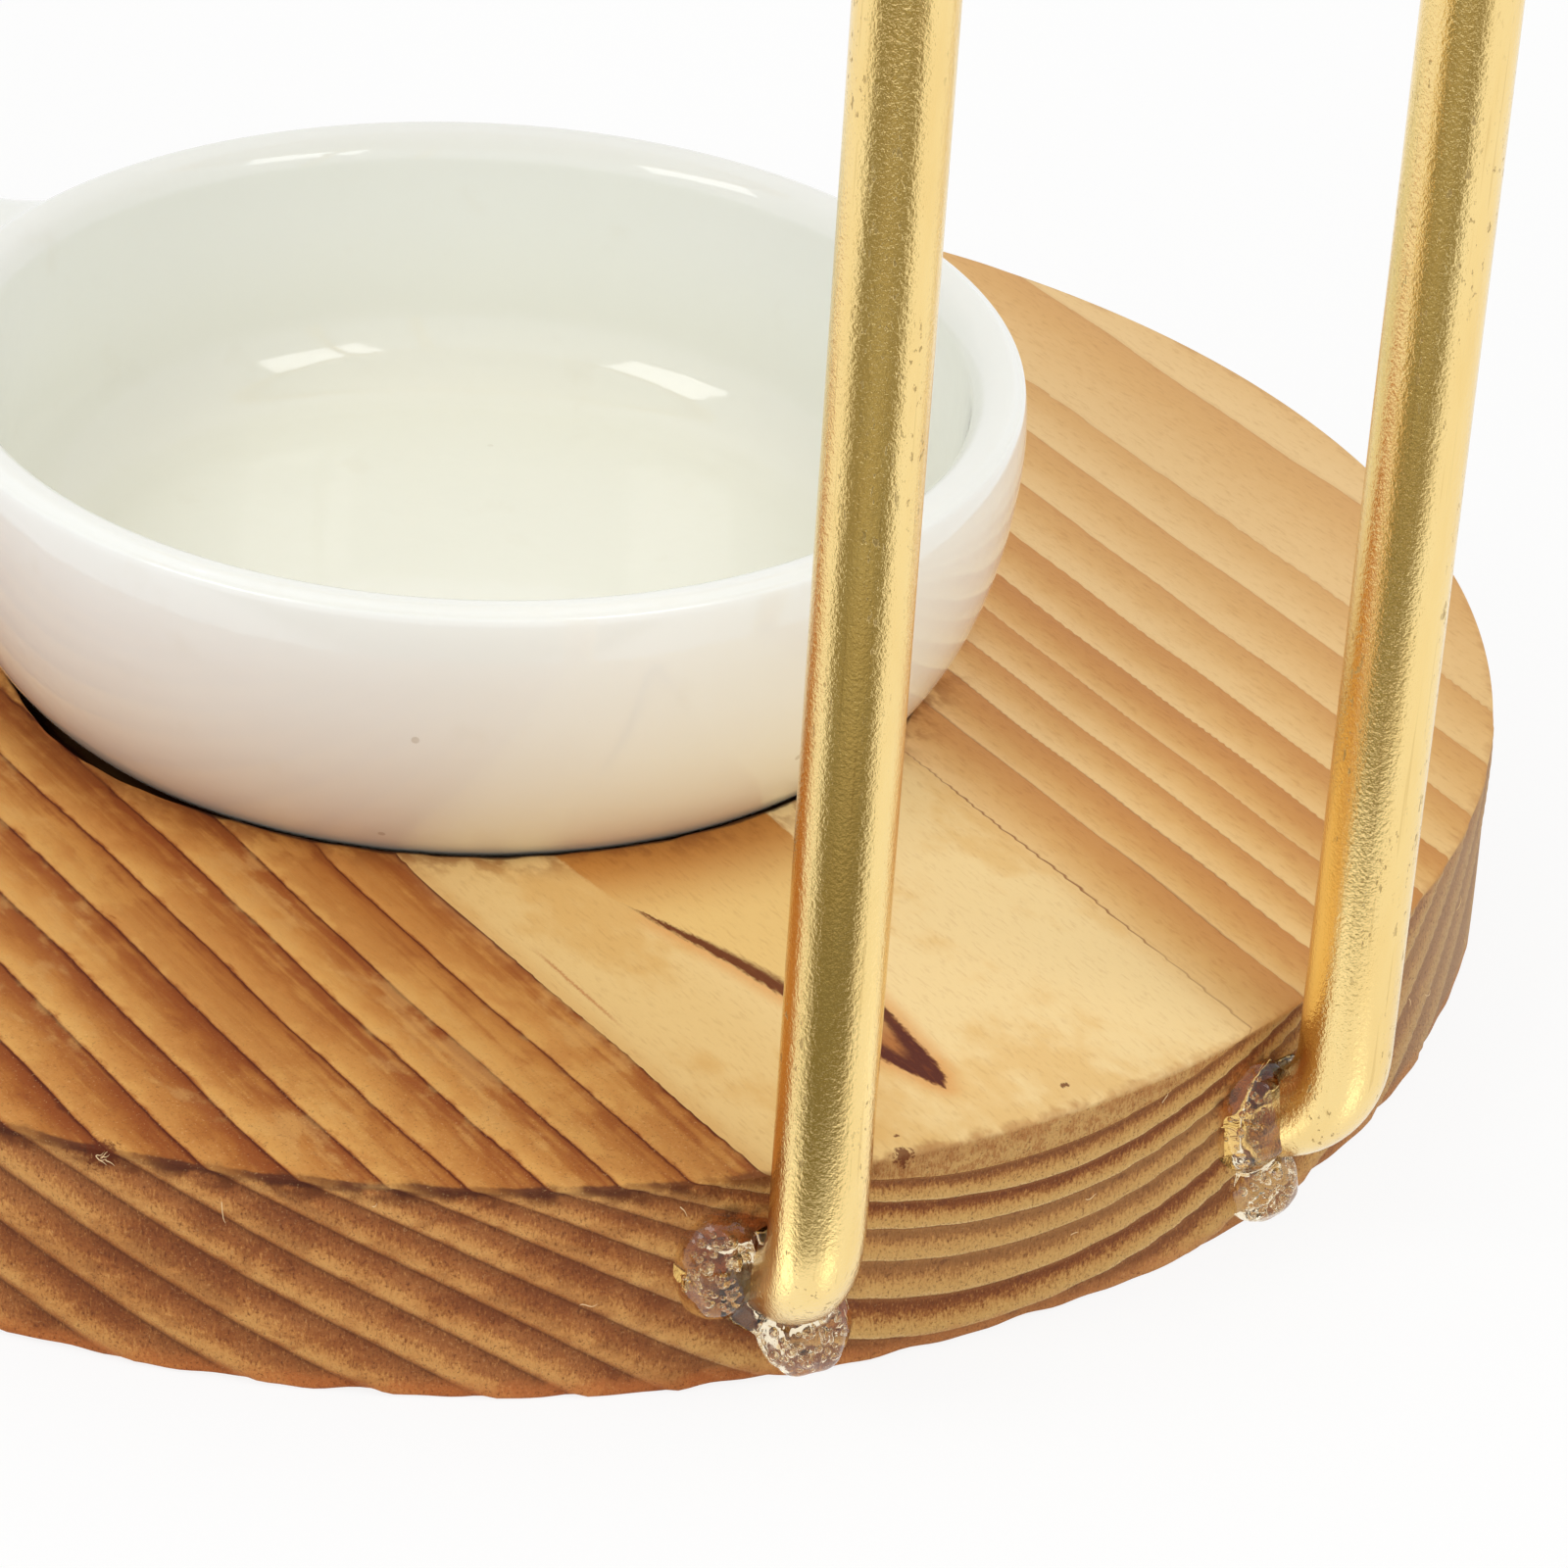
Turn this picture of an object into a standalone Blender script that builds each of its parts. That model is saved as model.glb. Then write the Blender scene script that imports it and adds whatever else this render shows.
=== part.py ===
"""Tealight oil burner: a round pine base, two bent wire uprights glued into its side, a wire
ring welded to them that carries a ceramic oil bowl, and a ceramic tealight cup with a lug
handle that stands in a recess in the wood.

Metres, +Z up. The origin is the centre of the base's underside. The uprights stand at the
back (+Y), and the cup's handle points to the front right.
"""

import math
from dataclasses import dataclass

import bmesh
import bpy
from mathutils import Matrix, Vector

# Gaps between pieces
SEAT_GAP = 0.0003
HOLE_CLEARANCE = 0.0003
RECESS_CLEARANCE = 0.0009

# Wooden base
BASE_RADIUS = 0.050
BASE_THICKNESS = 0.0108
BASE_EDGE = 0.0003
RECESS_DEPTH = 0.0025
RECESS_EDGE = 0.00015

# Wire stand: the uprights' axes stand off the base's side and are spaced apart
WIRE_RADIUS = 0.00208
UPRIGHT_STANDOFF = 0.0034
UPRIGHT_SPACING = 0.028
ELBOW_RADIUS = 0.0052
TOP_BEND_RADIUS = 0.008
SPIGOT_LENGTH = 0.009
HOLE_END_ROOM = 0.0006
HOLE_BREAK = 0.0003
DRILL_TIP_LENGTH = 0.0012
RING_HEIGHT = 0.084

# Tealight cup, heights from its foot
CUP_FOOT_RADIUS = 0.0176
CUP_BELLY_RADIUS = 0.0264
CUP_BELLY_HEIGHT = 0.0151
CUP_HEIGHT = 0.0166
CUP_WALL = 0.00275
CUP_LIP_EDGE = 0.0017
CUP_DRAFT = 0.0005
CUP_FLOOR_HEIGHT = 0.0035
CUP_FLOOR_FILLET = 0.005
CUP_FOOT_RING = 0.004
CUP_FOOT_HOLLOW = 0.0008

# Handle of the cup, a lug that leaves the wall just under the lip
HANDLE_BEARING = math.radians(-54.5)
HANDLE_LENGTH = 0.016
HANDLE_ROOT_WIDTH = 0.0163
HANDLE_TIP_WIDTH = 0.0132
HANDLE_THICKNESS = 0.0042
HANDLE_DROP = 0.0006
HANDLE_FILLET = 0.003
HANDLE_UNDER_FILLET = 0.0018
HANDLE_TIP_ROUND = 0.0055

# Oil bowl, heights from its foot
BOWL_RADIUS = 0.042
BOWL_HEIGHT = 0.033
BOWL_WALL = 0.0028
BOWL_FOOT_RADIUS = 0.016
BOWL_FOOT_HEIGHT = 0.0018
BOWL_FOOT_RING = 0.0035
BOWL_LIP_DEPTH = 0.002
BOWL_LIP_EDGE = 0.0009
BOWL_SEAT_HEIGHT = 0.0105

# Beads of weld on the ring and of glue on the wood
WELD_REACH = 0.0011
GLUE_COLLAR = 0.0012
GLUE_THICKNESS = 0.0019
GLUE_FLOOR_GAP = 0.0004

# How far a cutter runs past what it cuts
CUTTER_REACH = 0.02

# Facets
BASE_STEPS = 96
CUP_STEPS = 60
BOWL_STEPS = 64
RING_STEPS = 72
HOLE_STEPS = 24
WIRE_BEVEL_RESOLUTION = 4
BEND_POINTS = 7
FILLET_POINTS = 5
LIP_EDGE_POINTS = 5
LIP_SHOULDER_POINTS = 5
WALL_POINTS = 8
BEAD_SEGMENTS = 14
BEAD_RINGS = 9
HANDLE_SIDES = 20
HANDLE_FILLET_STATIONS = 4
HANDLE_TIP_STATIONS = 5
SHARP_ANGLE = math.radians(40)
MERGE = 0.00001
BISECTIONS = 40
TANGENT_STEP = 0.001

# Lengths of the curve handles of a thrown wall, as shares of the curve's own run and rise
WALL_FOOT_PULL = 0.62
WALL_BELLY_PULL = 0.6
BOWL_RISE_PULL = 0.65

# How far each handle of the bowl's inner curve lies in from the outer one and above it, in wall thicknesses
BOWL_INNER_SHIFTS = ((0.7, 1.0), (0.6, 1.0), (1.0, 0.3), (1.0, 0.0))

# Forms that are ratios: the weld bead's radii across, along and up, the power of the handle's rounded
# sections, how the handle's stations crowd to its root, and how far round its tip the last one lies
WELD_SHAPE = (1.0, 0.85, 0.95)
HANDLE_SQUARENESS = 2.6
HANDLE_CROWDING = 1.4
HANDLE_TIP_ANGLE = math.radians(83)

SIDES = {"left": -1, "right": 1}


@dataclass(frozen=True)
class GlueRun:
    """Where one bead of glue has run, from the hole's middle: a lump beside the wire and a drip under it."""

    lump_across: float
    lump_up: float
    lump_half_width: float
    lump_half_height: float
    drip_across: float
    drip_half_width: float
    drip_start: float


GLUE_RUNS = {
    "left": GlueRun(
        lump_across=0.0018,
        lump_up=0.0009,
        lump_half_width=0.0021,
        lump_half_height=0.0028,
        drip_across=0.0007,
        drip_half_width=0.0019,
        drip_start=0.0011,
    ),
    "right": GlueRun(
        lump_across=0.0031,
        lump_up=0.0012,
        lump_half_width=0.0020,
        lump_half_height=0.0027,
        drip_across=-0.0014,
        drip_half_width=0.0024,
        drip_start=0.0,
    ),
}


def clear_scene():
    """Removes every object and collection that the file starts with."""
    for obj in list(bpy.data.objects):
        bpy.data.objects.remove(obj)
    for collection in list(bpy.data.collections):
        bpy.data.collections.remove(collection)


def new_collection(name, hidden=False):
    """A collection linked to the scene."""
    collection = bpy.data.collections.new(name)
    bpy.context.scene.collection.children.link(collection)
    collection.hide_render = hidden
    return collection


def material(name, colour, roughness, metallic=0.0, transmission=0.0):
    """A Principled material."""
    made = bpy.data.materials.new(name)
    made.use_nodes = True
    shader = made.node_tree.nodes["Principled BSDF"]
    shader.inputs["Base Color"].default_value = (*colour, 1.0)
    shader.inputs["Roughness"].default_value = roughness
    shader.inputs["Metallic"].default_value = metallic
    shader.inputs["Transmission Weight"].default_value = transmission
    made.diffuse_color = (*colour, 1.0)
    return made


def torched_pine():
    """Scorched and brushed softwood."""
    return material("torched_pine", (0.50, 0.27, 0.10), 0.6)


def gold_plated_wire():
    """Brass-coloured plating on steel wire."""
    return material("gold_plated_wire", (0.83, 0.60, 0.22), 0.22, metallic=1.0)


def ivory_glaze():
    """Glossy off-white glaze."""
    return material("ivory_glaze", (0.88, 0.87, 0.82), 0.12)


def clear_glue():
    """Hot-melt glue with bubbles."""
    return material("clear_glue", (0.85, 0.80, 0.70), 0.2, transmission=0.6)


def shade_round(mesh):
    """Smooth shading that keeps the sharp edges."""
    mesh.shade_smooth()
    mesh.set_sharp_from_angle(angle=SHARP_ANGLE)


def add_object(name, data, collection, finish=None):
    """An object in a collection, with one finish."""
    obj = bpy.data.objects.new(name, data)
    collection.objects.link(obj)
    if finish:
        data.materials.append(finish)
    return obj


def make_helper(obj):
    """Marks an object as one that cuts or joins others and isn't a piece itself."""
    obj.hide_render = True
    obj.display_type = "WIRE"
    return obj


def add_boolean(obj, other, operation):
    """Cuts another object from this one, or joins it on."""
    step = obj.modifiers.new(f"{operation.lower()} {other.name}", "BOOLEAN")
    step.object = other
    step.operation = operation
    step.solver = "EXACT"


def arc(centre, run, rise, start, end, count):
    """Points (radius, height) along an elliptical arc between two angles in degrees."""
    points = []
    for i in range(count + 1):
        angle = math.radians(start + (end - start) * i / count)
        points.append((centre[0] + run * math.cos(angle), centre[1] + rise * math.sin(angle)))
    return points


def cubic_point(handles, t):
    """The point at t on a cubic curve."""
    weights = ((1 - t) ** 3, 3 * (1 - t) ** 2 * t, 3 * (1 - t) * t ** 2, t ** 3)
    return tuple(sum(w * p[axis] for w, p in zip(weights, handles)) for axis in (0, 1))


def cubic(handles, count):
    """Points along a cubic curve, both ends included."""
    return [cubic_point(handles, i / count) for i in range(count + 1)]


def height_on_cubic(handles, height):
    """Where on a rising cubic curve it reaches a height, as t."""
    low, high = 0.0, 1.0
    for _ in range(BISECTIONS):
        middle = (low + high) / 2
        if cubic_point(handles, middle)[1] < height:
            low = middle
        else:
            high = middle
    return low


def turned(name, profile, steps, collection, finish=None):
    """A solid turned about Z from a profile that starts and ends on the axis and runs down its outer side."""
    mesh = bpy.data.meshes.new(name)
    verts = [(radius, 0.0, height) for radius, height in profile]
    edges = [(i, i + 1) for i in range(len(verts) - 1)]
    mesh.from_pydata(verts, edges, [])
    obj = add_object(name, mesh, collection, finish)
    screw = obj.modifiers.new("turn", "SCREW")
    screw.axis = "Z"
    screw.angle = 2 * math.pi
    screw.steps = steps
    screw.render_steps = steps
    screw.use_merge_vertices = True
    screw.merge_threshold = MERGE
    screw.use_smooth_shade = True
    return obj


def wire_helper(name, route, radius, collection):
    """A closed mesh tube along a route of points."""
    curve = bpy.data.curves.new(name, "CURVE")
    curve.dimensions = "3D"
    curve.bevel_depth = radius
    curve.bevel_resolution = WIRE_BEVEL_RESOLUTION
    curve.use_fill_caps = True
    spline = curve.splines.new("POLY")
    spline.points.add(len(route) - 1)
    for point, place in zip(spline.points, route):
        point.co = (*place, 1.0)
    drawn = bpy.data.objects.new(f"{name}_curve", curve)
    collection.objects.link(drawn)
    bpy.context.view_layer.update()
    evaluated = drawn.evaluated_get(bpy.context.evaluated_depsgraph_get())
    mesh = bpy.data.meshes.new_from_object(evaluated)
    welded = bmesh.new()
    welded.from_mesh(mesh)
    bmesh.ops.remove_doubles(welded, verts=welded.verts, dist=MERGE)
    welded.to_mesh(mesh)
    welded.free()
    shade_round(mesh)
    mesh.name = name
    obj = add_object(name, mesh, collection)
    obj.matrix_world = drawn.matrix_world.copy()
    bpy.data.objects.remove(drawn)
    return obj


def cylinder_helper(name, radius, low, high, steps, collection):
    """A cylinder about the object's axis between two heights."""
    mesh = bpy.data.meshes.new(name)
    built = bmesh.new()
    bmesh.ops.create_cone(
        built, cap_ends=True, segments=steps, radius1=radius, radius2=radius, depth=high - low
    )
    built.to_mesh(mesh)
    built.free()
    obj = add_object(name, mesh, collection)
    obj.location = (0.0, 0.0, (low + high) / 2)
    return make_helper(obj)


def lobe_helper(name, radii, place, collection):
    """An egg-shaped lump with its own radii along the axes of its place."""
    mesh = bpy.data.meshes.new(name)
    built = bmesh.new()
    bmesh.ops.create_uvsphere(built, u_segments=BEAD_SEGMENTS, v_segments=BEAD_RINGS, radius=1.0)
    bmesh.ops.scale(built, vec=Vector(radii), verts=built.verts)
    built.to_mesh(mesh)
    built.free()
    mesh.shade_smooth()
    obj = add_object(name, mesh, collection)
    obj.matrix_world = place
    return obj


# Outlines of the turned pieces

def cup_wall_handles():
    """The cup's outer wall from its foot up to its belly."""
    foot = (CUP_FOOT_RADIUS, 0.0)
    belly = (CUP_BELLY_RADIUS, CUP_BELLY_HEIGHT)
    run = CUP_BELLY_RADIUS - CUP_FOOT_RADIUS
    foot_pull = (CUP_FOOT_RADIUS + WALL_FOOT_PULL * run, 0.0)
    belly_pull = (CUP_BELLY_RADIUS, CUP_BELLY_HEIGHT * (1 - WALL_BELLY_PULL))
    return foot, foot_pull, belly_pull, belly


def lip(outer_radius, shoulder_height, top, wall, edge):
    """A thrown lip from its inner edge over the broad outer shoulder."""
    crown = outer_radius - wall + edge
    inner = arc((crown, top - edge), edge, edge, 180, 90, LIP_EDGE_POINTS)
    shoulder = arc(
        (crown, shoulder_height), outer_radius - crown, top - shoulder_height, 90, 0, LIP_SHOULDER_POINTS
    )
    return inner + shoulder[1:]


def cup_profile():
    """From the middle of the floor, up the inside, over the lip and down to the middle of the underside."""
    mouth = CUP_BELLY_RADIUS - CUP_WALL
    fillet_centre = (mouth - CUP_DRAFT - CUP_FLOOR_FILLET, CUP_FLOOR_HEIGHT + CUP_FLOOR_FILLET)
    fillet = arc(fillet_centre, CUP_FLOOR_FILLET, CUP_FLOOR_FILLET, -90, 0, FILLET_POINTS)
    floor = [(0.0, CUP_FLOOR_HEIGHT)] + fillet
    rim = lip(CUP_BELLY_RADIUS, CUP_BELLY_HEIGHT, CUP_HEIGHT, CUP_WALL, CUP_LIP_EDGE)
    wall = cubic(cup_wall_handles(), WALL_POINTS)[::-1]
    hollow = CUP_FOOT_RADIUS - CUP_FOOT_RING
    foot = [(hollow, 0.0), (hollow - CUP_FOOT_HOLLOW, CUP_FOOT_HOLLOW), (0.0, CUP_FOOT_HOLLOW)]
    return floor + rim + wall[1:] + foot


def bowl_wall_handles():
    """The bowl's outer wall from the top of its foot up to its lip."""
    run = BOWL_RADIUS - BOWL_FOOT_RADIUS
    top = BOWL_HEIGHT - BOWL_LIP_DEPTH
    rise = top - BOWL_FOOT_HEIGHT
    foot = (BOWL_FOOT_RADIUS, BOWL_FOOT_HEIGHT)
    foot_pull = (BOWL_FOOT_RADIUS + WALL_FOOT_PULL * run, BOWL_FOOT_HEIGHT)
    top_pull = (BOWL_RADIUS, top - BOWL_RISE_PULL * rise)
    return foot, foot_pull, top_pull, (BOWL_RADIUS, top)


def bowl_inner_handles():
    """The bowl's inner wall: the outer one moved in by the wall's thickness."""
    return tuple(
        (radius - inward * BOWL_WALL, height + upward * BOWL_WALL)
        for (radius, height), (inward, upward) in zip(bowl_wall_handles(), BOWL_INNER_SHIFTS)
    )


def bowl_profile():
    """From the middle of the floor, up the inside, over the lip and down to the middle of the underside."""
    inside = cubic(bowl_inner_handles(), WALL_POINTS)
    floor = [(0.0, inside[0][1])]
    rim = lip(BOWL_RADIUS, BOWL_HEIGHT - BOWL_LIP_DEPTH, BOWL_HEIGHT, BOWL_WALL, BOWL_LIP_EDGE)
    wall = cubic(bowl_wall_handles(), WALL_POINTS)[::-1]
    hollow = BOWL_FOOT_RADIUS - BOWL_FOOT_RING
    foot = [(BOWL_FOOT_RADIUS, 0.0), (hollow, 0.0), (hollow, BOWL_FOOT_HEIGHT), (0.0, BOWL_FOOT_HEIGHT)]
    return floor + inside[:-1] + rim + wall[1:] + foot


# Places that several pieces share

def upright_axis_radius():
    """How far the uprights' vertical axes stand from the object's axis."""
    return BASE_RADIUS + UPRIGHT_STANDOFF


def spigot_height():
    """The holes in the base's side are drilled at mid thickness."""
    return BASE_THICKNESS / 2


def upright_bearing(side):
    """The direction of an upright from the object's axis, in radians from +X."""
    half_angle = math.asin(UPRIGHT_SPACING / 2 / upright_axis_radius())
    return math.pi / 2 - SIDES[side] * half_angle


def radial_place(side, radius, height):
    """A place in an upright's plane, its X tangential to the right, its Y outwards and its Z up."""
    turn = Matrix.Rotation(upright_bearing(side) - math.pi / 2, 4, "Z")
    return turn @ Matrix.Translation((0.0, radius, height))


def ring_seat():
    """The ring's radius, and its height above the bowl's foot, where it carries the bowl's wall."""
    handles = bowl_wall_handles()
    t = height_on_cubic(handles, BOWL_SEAT_HEIGHT)
    here = Vector(cubic_point(handles, t))
    along = Vector(cubic_point(handles, t + TANGENT_STEP)) - here
    outward = Vector((along.y, -along.x)).normalized()
    centre = here + outward * (WIRE_RADIUS + SEAT_GAP)
    return centre.x, centre.y


def cup_foot_height():
    """The cup's foot stands on the floor of the recess."""
    return BASE_THICKNESS - RECESS_DEPTH + SEAT_GAP


def recess_radius():
    """The recess takes the cup's wall where it passes the wood's top."""
    handles = cup_wall_handles()
    t = height_on_cubic(handles, BASE_THICKNESS - cup_foot_height())
    return cubic_point(handles, t)[0] + RECESS_CLEARANCE


def upright_route(side):
    """The wire's axis from its end in the wood, round the elbow, up, and in over the top bend to the ring.

    The top bend is as wide as its own radius, or as the room between the upright and the ring.
    """
    outer = upright_axis_radius()
    ring_radius, _ = ring_seat()
    low, high = spigot_height(), RING_HEIGHT
    route = [(BASE_RADIUS - SPIGOT_LENGTH, low)]
    route += arc((outer - ELBOW_RADIUS, low + ELBOW_RADIUS), ELBOW_RADIUS, ELBOW_RADIUS, -90, 0, BEND_POINTS)
    bend = min(TOP_BEND_RADIUS, outer - ring_radius)
    route += arc((outer - bend, high - bend), bend, bend, 0, 90, BEND_POINTS)
    route.append((ring_radius, high))
    return [radial_place(side, radius, height).translation for radius, height in route]


# The pieces

def wooden_base(pieces, helpers):
    """The disc with its recess, and a blind hole in its side for each upright."""
    recess = recess_radius()
    floor = BASE_THICKNESS - RECESS_DEPTH
    profile = [
        (0.0, floor),
        (recess, floor),
        (recess, BASE_THICKNESS - RECESS_EDGE),
        (recess + RECESS_EDGE, BASE_THICKNESS),
        (BASE_RADIUS - BASE_EDGE, BASE_THICKNESS),
        (BASE_RADIUS, BASE_THICKNESS - BASE_EDGE),
        (BASE_RADIUS, BASE_EDGE),
        (BASE_RADIUS - BASE_EDGE, 0.0),
        (0.0, 0.0),
    ]
    base = turned("wooden_base", profile, BASE_STEPS, pieces, torched_pine())
    for side in SIDES:
        add_boolean(base, spigot_hole(side, helpers), "DIFFERENCE")
    return base


def spigot_hole(side, helpers):
    """A drilled hole whose mouth is opened as far as the wire's elbow reaches into it."""
    radius = WIRE_RADIUS + HOLE_CLEARANCE
    depth = SPIGOT_LENGTH + HOLE_END_ROOM
    elbow_inside = max(ELBOW_RADIUS - UPRIGHT_STANDOFF, 0.0)
    elbow_rise = ELBOW_RADIUS - math.sqrt(ELBOW_RADIUS ** 2 - elbow_inside ** 2)
    mouth_depth = elbow_inside + HOLE_BREAK
    mouth = radius + elbow_rise + HOLE_BREAK
    profile = [
        (0.0, CUTTER_REACH),
        (mouth, CUTTER_REACH),
        (mouth, 0.0),
        (radius, -mouth_depth),
        (radius, -depth),
        (0.0, -depth - DRILL_TIP_LENGTH),
    ]
    hole = make_helper(turned(f"hole_{side}", profile, HOLE_STEPS, helpers))
    outwards = Matrix.Rotation(-math.pi / 2, 4, "X")
    hole.matrix_world = radial_place(side, BASE_RADIUS, spigot_height()) @ outwards
    return hole


def wire_sides():
    """How many sides a curve's bevel of this resolution gives the wire."""
    return 4 + 2 * WIRE_BEVEL_RESOLUTION


def ring_torus(name, wire_radius, collection):
    """The closed ring of wire, or a fatter one that cuts room for it."""
    ring_radius, _ = ring_seat()
    bpy.ops.mesh.primitive_torus_add(
        location=(0.0, 0.0, RING_HEIGHT),
        major_radius=ring_radius,
        minor_radius=wire_radius,
        major_segments=RING_STEPS,
        minor_segments=wire_sides(),
    )
    obj = bpy.context.active_object
    for holder in list(obj.users_collection):
        holder.objects.unlink(obj)
    collection.objects.link(obj)
    obj.name = name
    obj.data.name = name
    shade_round(obj.data)
    return obj


def bowl_ring(pieces, helpers, finish):
    """The ring that carries the oil bowl, and the cutter that copes what is welded to it."""
    ring = ring_torus("bowl_ring", WIRE_RADIUS, pieces)
    ring.data.materials.append(finish)
    room = make_helper(ring_torus("ring_room", WIRE_RADIUS + SEAT_GAP, helpers))
    return ring, room


def upright(side, ring_room, pieces, finish):
    """One bent wire, its upper end coped to sit on the ring."""
    wire = wire_helper(f"upright_{side}", upright_route(side), WIRE_RADIUS, pieces)
    wire.data.materials.append(finish)
    add_boolean(wire, ring_room, "DIFFERENCE")
    return wire


def weld_bead(side, ring_room, wire_room, pieces, finish):
    """The bead of weld round the upright's end, lapping onto the ring."""
    ring_radius, _ = ring_seat()
    reach = WIRE_RADIUS + SEAT_GAP + WELD_REACH
    place = radial_place(side, ring_radius + WIRE_RADIUS, RING_HEIGHT)
    bead = lobe_helper(f"weld_bead_{side}", [reach * share for share in WELD_SHAPE], place, pieces)
    bead.data.materials.append(finish)
    add_boolean(bead, ring_room, "DIFFERENCE")
    add_boolean(bead, wire_room, "DIFFERENCE")
    return bead


def glue_lumps(side):
    """The lumps of one bead: the way along the wood's side, the way up, half width and half height."""
    run = GLUE_RUNS[side]
    drip_end = spigot_height() - GLUE_FLOOR_GAP
    collar = WIRE_RADIUS + GLUE_COLLAR
    return (
        (0.0, 0.0, collar, collar),
        (run.lump_across, run.lump_up, run.lump_half_width, run.lump_half_height),
        (
            run.drip_across,
            -(run.drip_start + drip_end) / 2,
            run.drip_half_width,
            (drip_end - run.drip_start) / 2,
        ),
    )


def glue_bead(side, base_room, wire_room, pieces, helpers, finish):
    """Hot-melt glue heaped round the wire where it enters the wood, in lumps that have run together."""
    lumps = []
    for number, (across, up, half_width, half_height) in enumerate(glue_lumps(side)):
        bearing = upright_bearing(side) - across / BASE_RADIUS
        turn = Matrix.Rotation(bearing - math.pi / 2, 4, "Z")
        place = turn @ Matrix.Translation((0.0, BASE_RADIUS, spigot_height() + up))
        name = f"glue_bead_{side}" if number == 0 else f"glue_lump_{side}_{number}"
        collection = pieces if number == 0 else helpers
        lumps.append(lobe_helper(name, (half_width, GLUE_THICKNESS, half_height), place, collection))
    bead = lumps[0]
    bead.data.materials.append(finish)
    for lump in lumps[1:]:
        add_boolean(bead, make_helper(lump), "UNION")
    add_boolean(bead, base_room, "DIFFERENCE")
    add_boolean(bead, wire_room, "DIFFERENCE")
    return bead


def handle_half_width(out):
    """Half the handle's width at a distance out from the belly, with the fillet that meets the wall."""
    taper = (HANDLE_ROOT_WIDTH - HANDLE_TIP_WIDTH) / 2 / HANDLE_LENGTH
    straight = HANDLE_ROOT_WIDTH / 2 - taper * out
    if out >= HANDLE_FILLET:
        return straight
    rise = min((HANDLE_FILLET - out) / HANDLE_FILLET, 1.0)
    return straight + HANDLE_FILLET * (1 - math.sqrt(1 - rise ** 2))


def handle_section(out):
    """Half width, lowest and highest height of the handle at a distance out from the belly."""
    top = CUP_HEIGHT - HANDLE_DROP
    flare = max(0.0, min((HANDLE_FILLET - out) / HANDLE_FILLET, 1.0))
    bottom = top - HANDLE_THICKNESS - HANDLE_UNDER_FILLET * (1 - math.sqrt(1 - flare ** 2))
    rounding = max(0.0, (out - (HANDLE_LENGTH - HANDLE_TIP_ROUND)) / HANDLE_TIP_ROUND)
    narrowing = math.sqrt(max(0.0, 1 - rounding ** 2))
    thinning = math.sqrt(max(0.0, 1 - rounding ** 4))
    middle = (top + bottom) / 2
    half = (top - bottom) / 2 * thinning
    return handle_half_width(out) * narrowing, middle - half, middle + half


def handle_stations():
    """Distances out from the belly of the handle's sections, from the middle of the wall to the tip."""
    fillet = [
        HANDLE_FILLET * (i / HANDLE_FILLET_STATIONS) ** HANDLE_CROWDING
        for i in range(HANDLE_FILLET_STATIONS + 1)
    ]
    tip_start = HANDLE_LENGTH - HANDLE_TIP_ROUND
    tip = [
        tip_start + HANDLE_TIP_ROUND * math.sin(HANDLE_TIP_ANGLE * i / HANDLE_TIP_STATIONS)
        for i in range(HANDLE_TIP_STATIONS + 1)
    ]
    return [-CUP_WALL / 2] + fillet + [(HANDLE_FILLET + tip_start) / 2] + tip


def rounded(share, reach):
    """A sine or cosine pushed out from a circle towards a square, times a reach."""
    return reach * math.copysign(abs(share) ** (2 / HANDLE_SQUARENESS), share)


def handle_outline(out):
    """Points round the handle's section at a distance out: it bends round the belly at the root only."""
    half_width, low, high = handle_section(out)
    bend = 1 - max(0.0, min(out / HANDLE_LENGTH, 1.0))
    points = []
    for i in range(HANDLE_SIDES):
        angle = 2 * math.pi * i / HANDLE_SIDES
        across = rounded(math.cos(angle), half_width)
        height = (low + high) / 2 + rounded(math.sin(angle), (high - low) / 2)
        sag = CUP_BELLY_RADIUS - math.sqrt(CUP_BELLY_RADIUS ** 2 - across ** 2)
        points.append((CUP_BELLY_RADIUS + out - bend * sag, across, height))
    return points


def handle_loft(helpers):
    """The lug handle as a loft of its sections."""
    built = bmesh.new()
    rings = [[built.verts.new(point) for point in handle_outline(out)] for out in handle_stations()]
    for first, second in zip(rings, rings[1:]):
        for i in range(HANDLE_SIDES):
            j = (i + 1) % HANDLE_SIDES
            built.faces.new((first[i], first[j], second[j], second[i]))
    built.faces.new(rings[0][::-1])
    built.faces.new(rings[-1])
    bmesh.ops.recalc_face_normals(built, faces=built.faces)
    mesh = bpy.data.meshes.new("handle_lug")
    built.to_mesh(mesh)
    built.free()
    mesh.shade_smooth()
    handle = make_helper(add_object("handle_lug", mesh, helpers))
    foot = Matrix.Translation((0.0, 0.0, cup_foot_height()))
    handle.matrix_world = foot @ Matrix.Rotation(HANDLE_BEARING, 4, "Z")
    return handle


def tealight_cup(pieces, helpers, finish):
    """The cup with its handle."""
    cup = turned("tealight_cup", cup_profile(), CUP_STEPS, pieces, finish)
    cup.location = (0.0, 0.0, cup_foot_height())
    add_boolean(cup, handle_loft(helpers), "UNION")
    return cup


def oil_bowl(pieces, finish):
    """The bowl in its ring."""
    _, seat = ring_seat()
    bowl = turned("oil_bowl", bowl_profile(), BOWL_STEPS, pieces, finish)
    bowl.location = (0.0, 0.0, RING_HEIGHT - seat)
    return bowl


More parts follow.
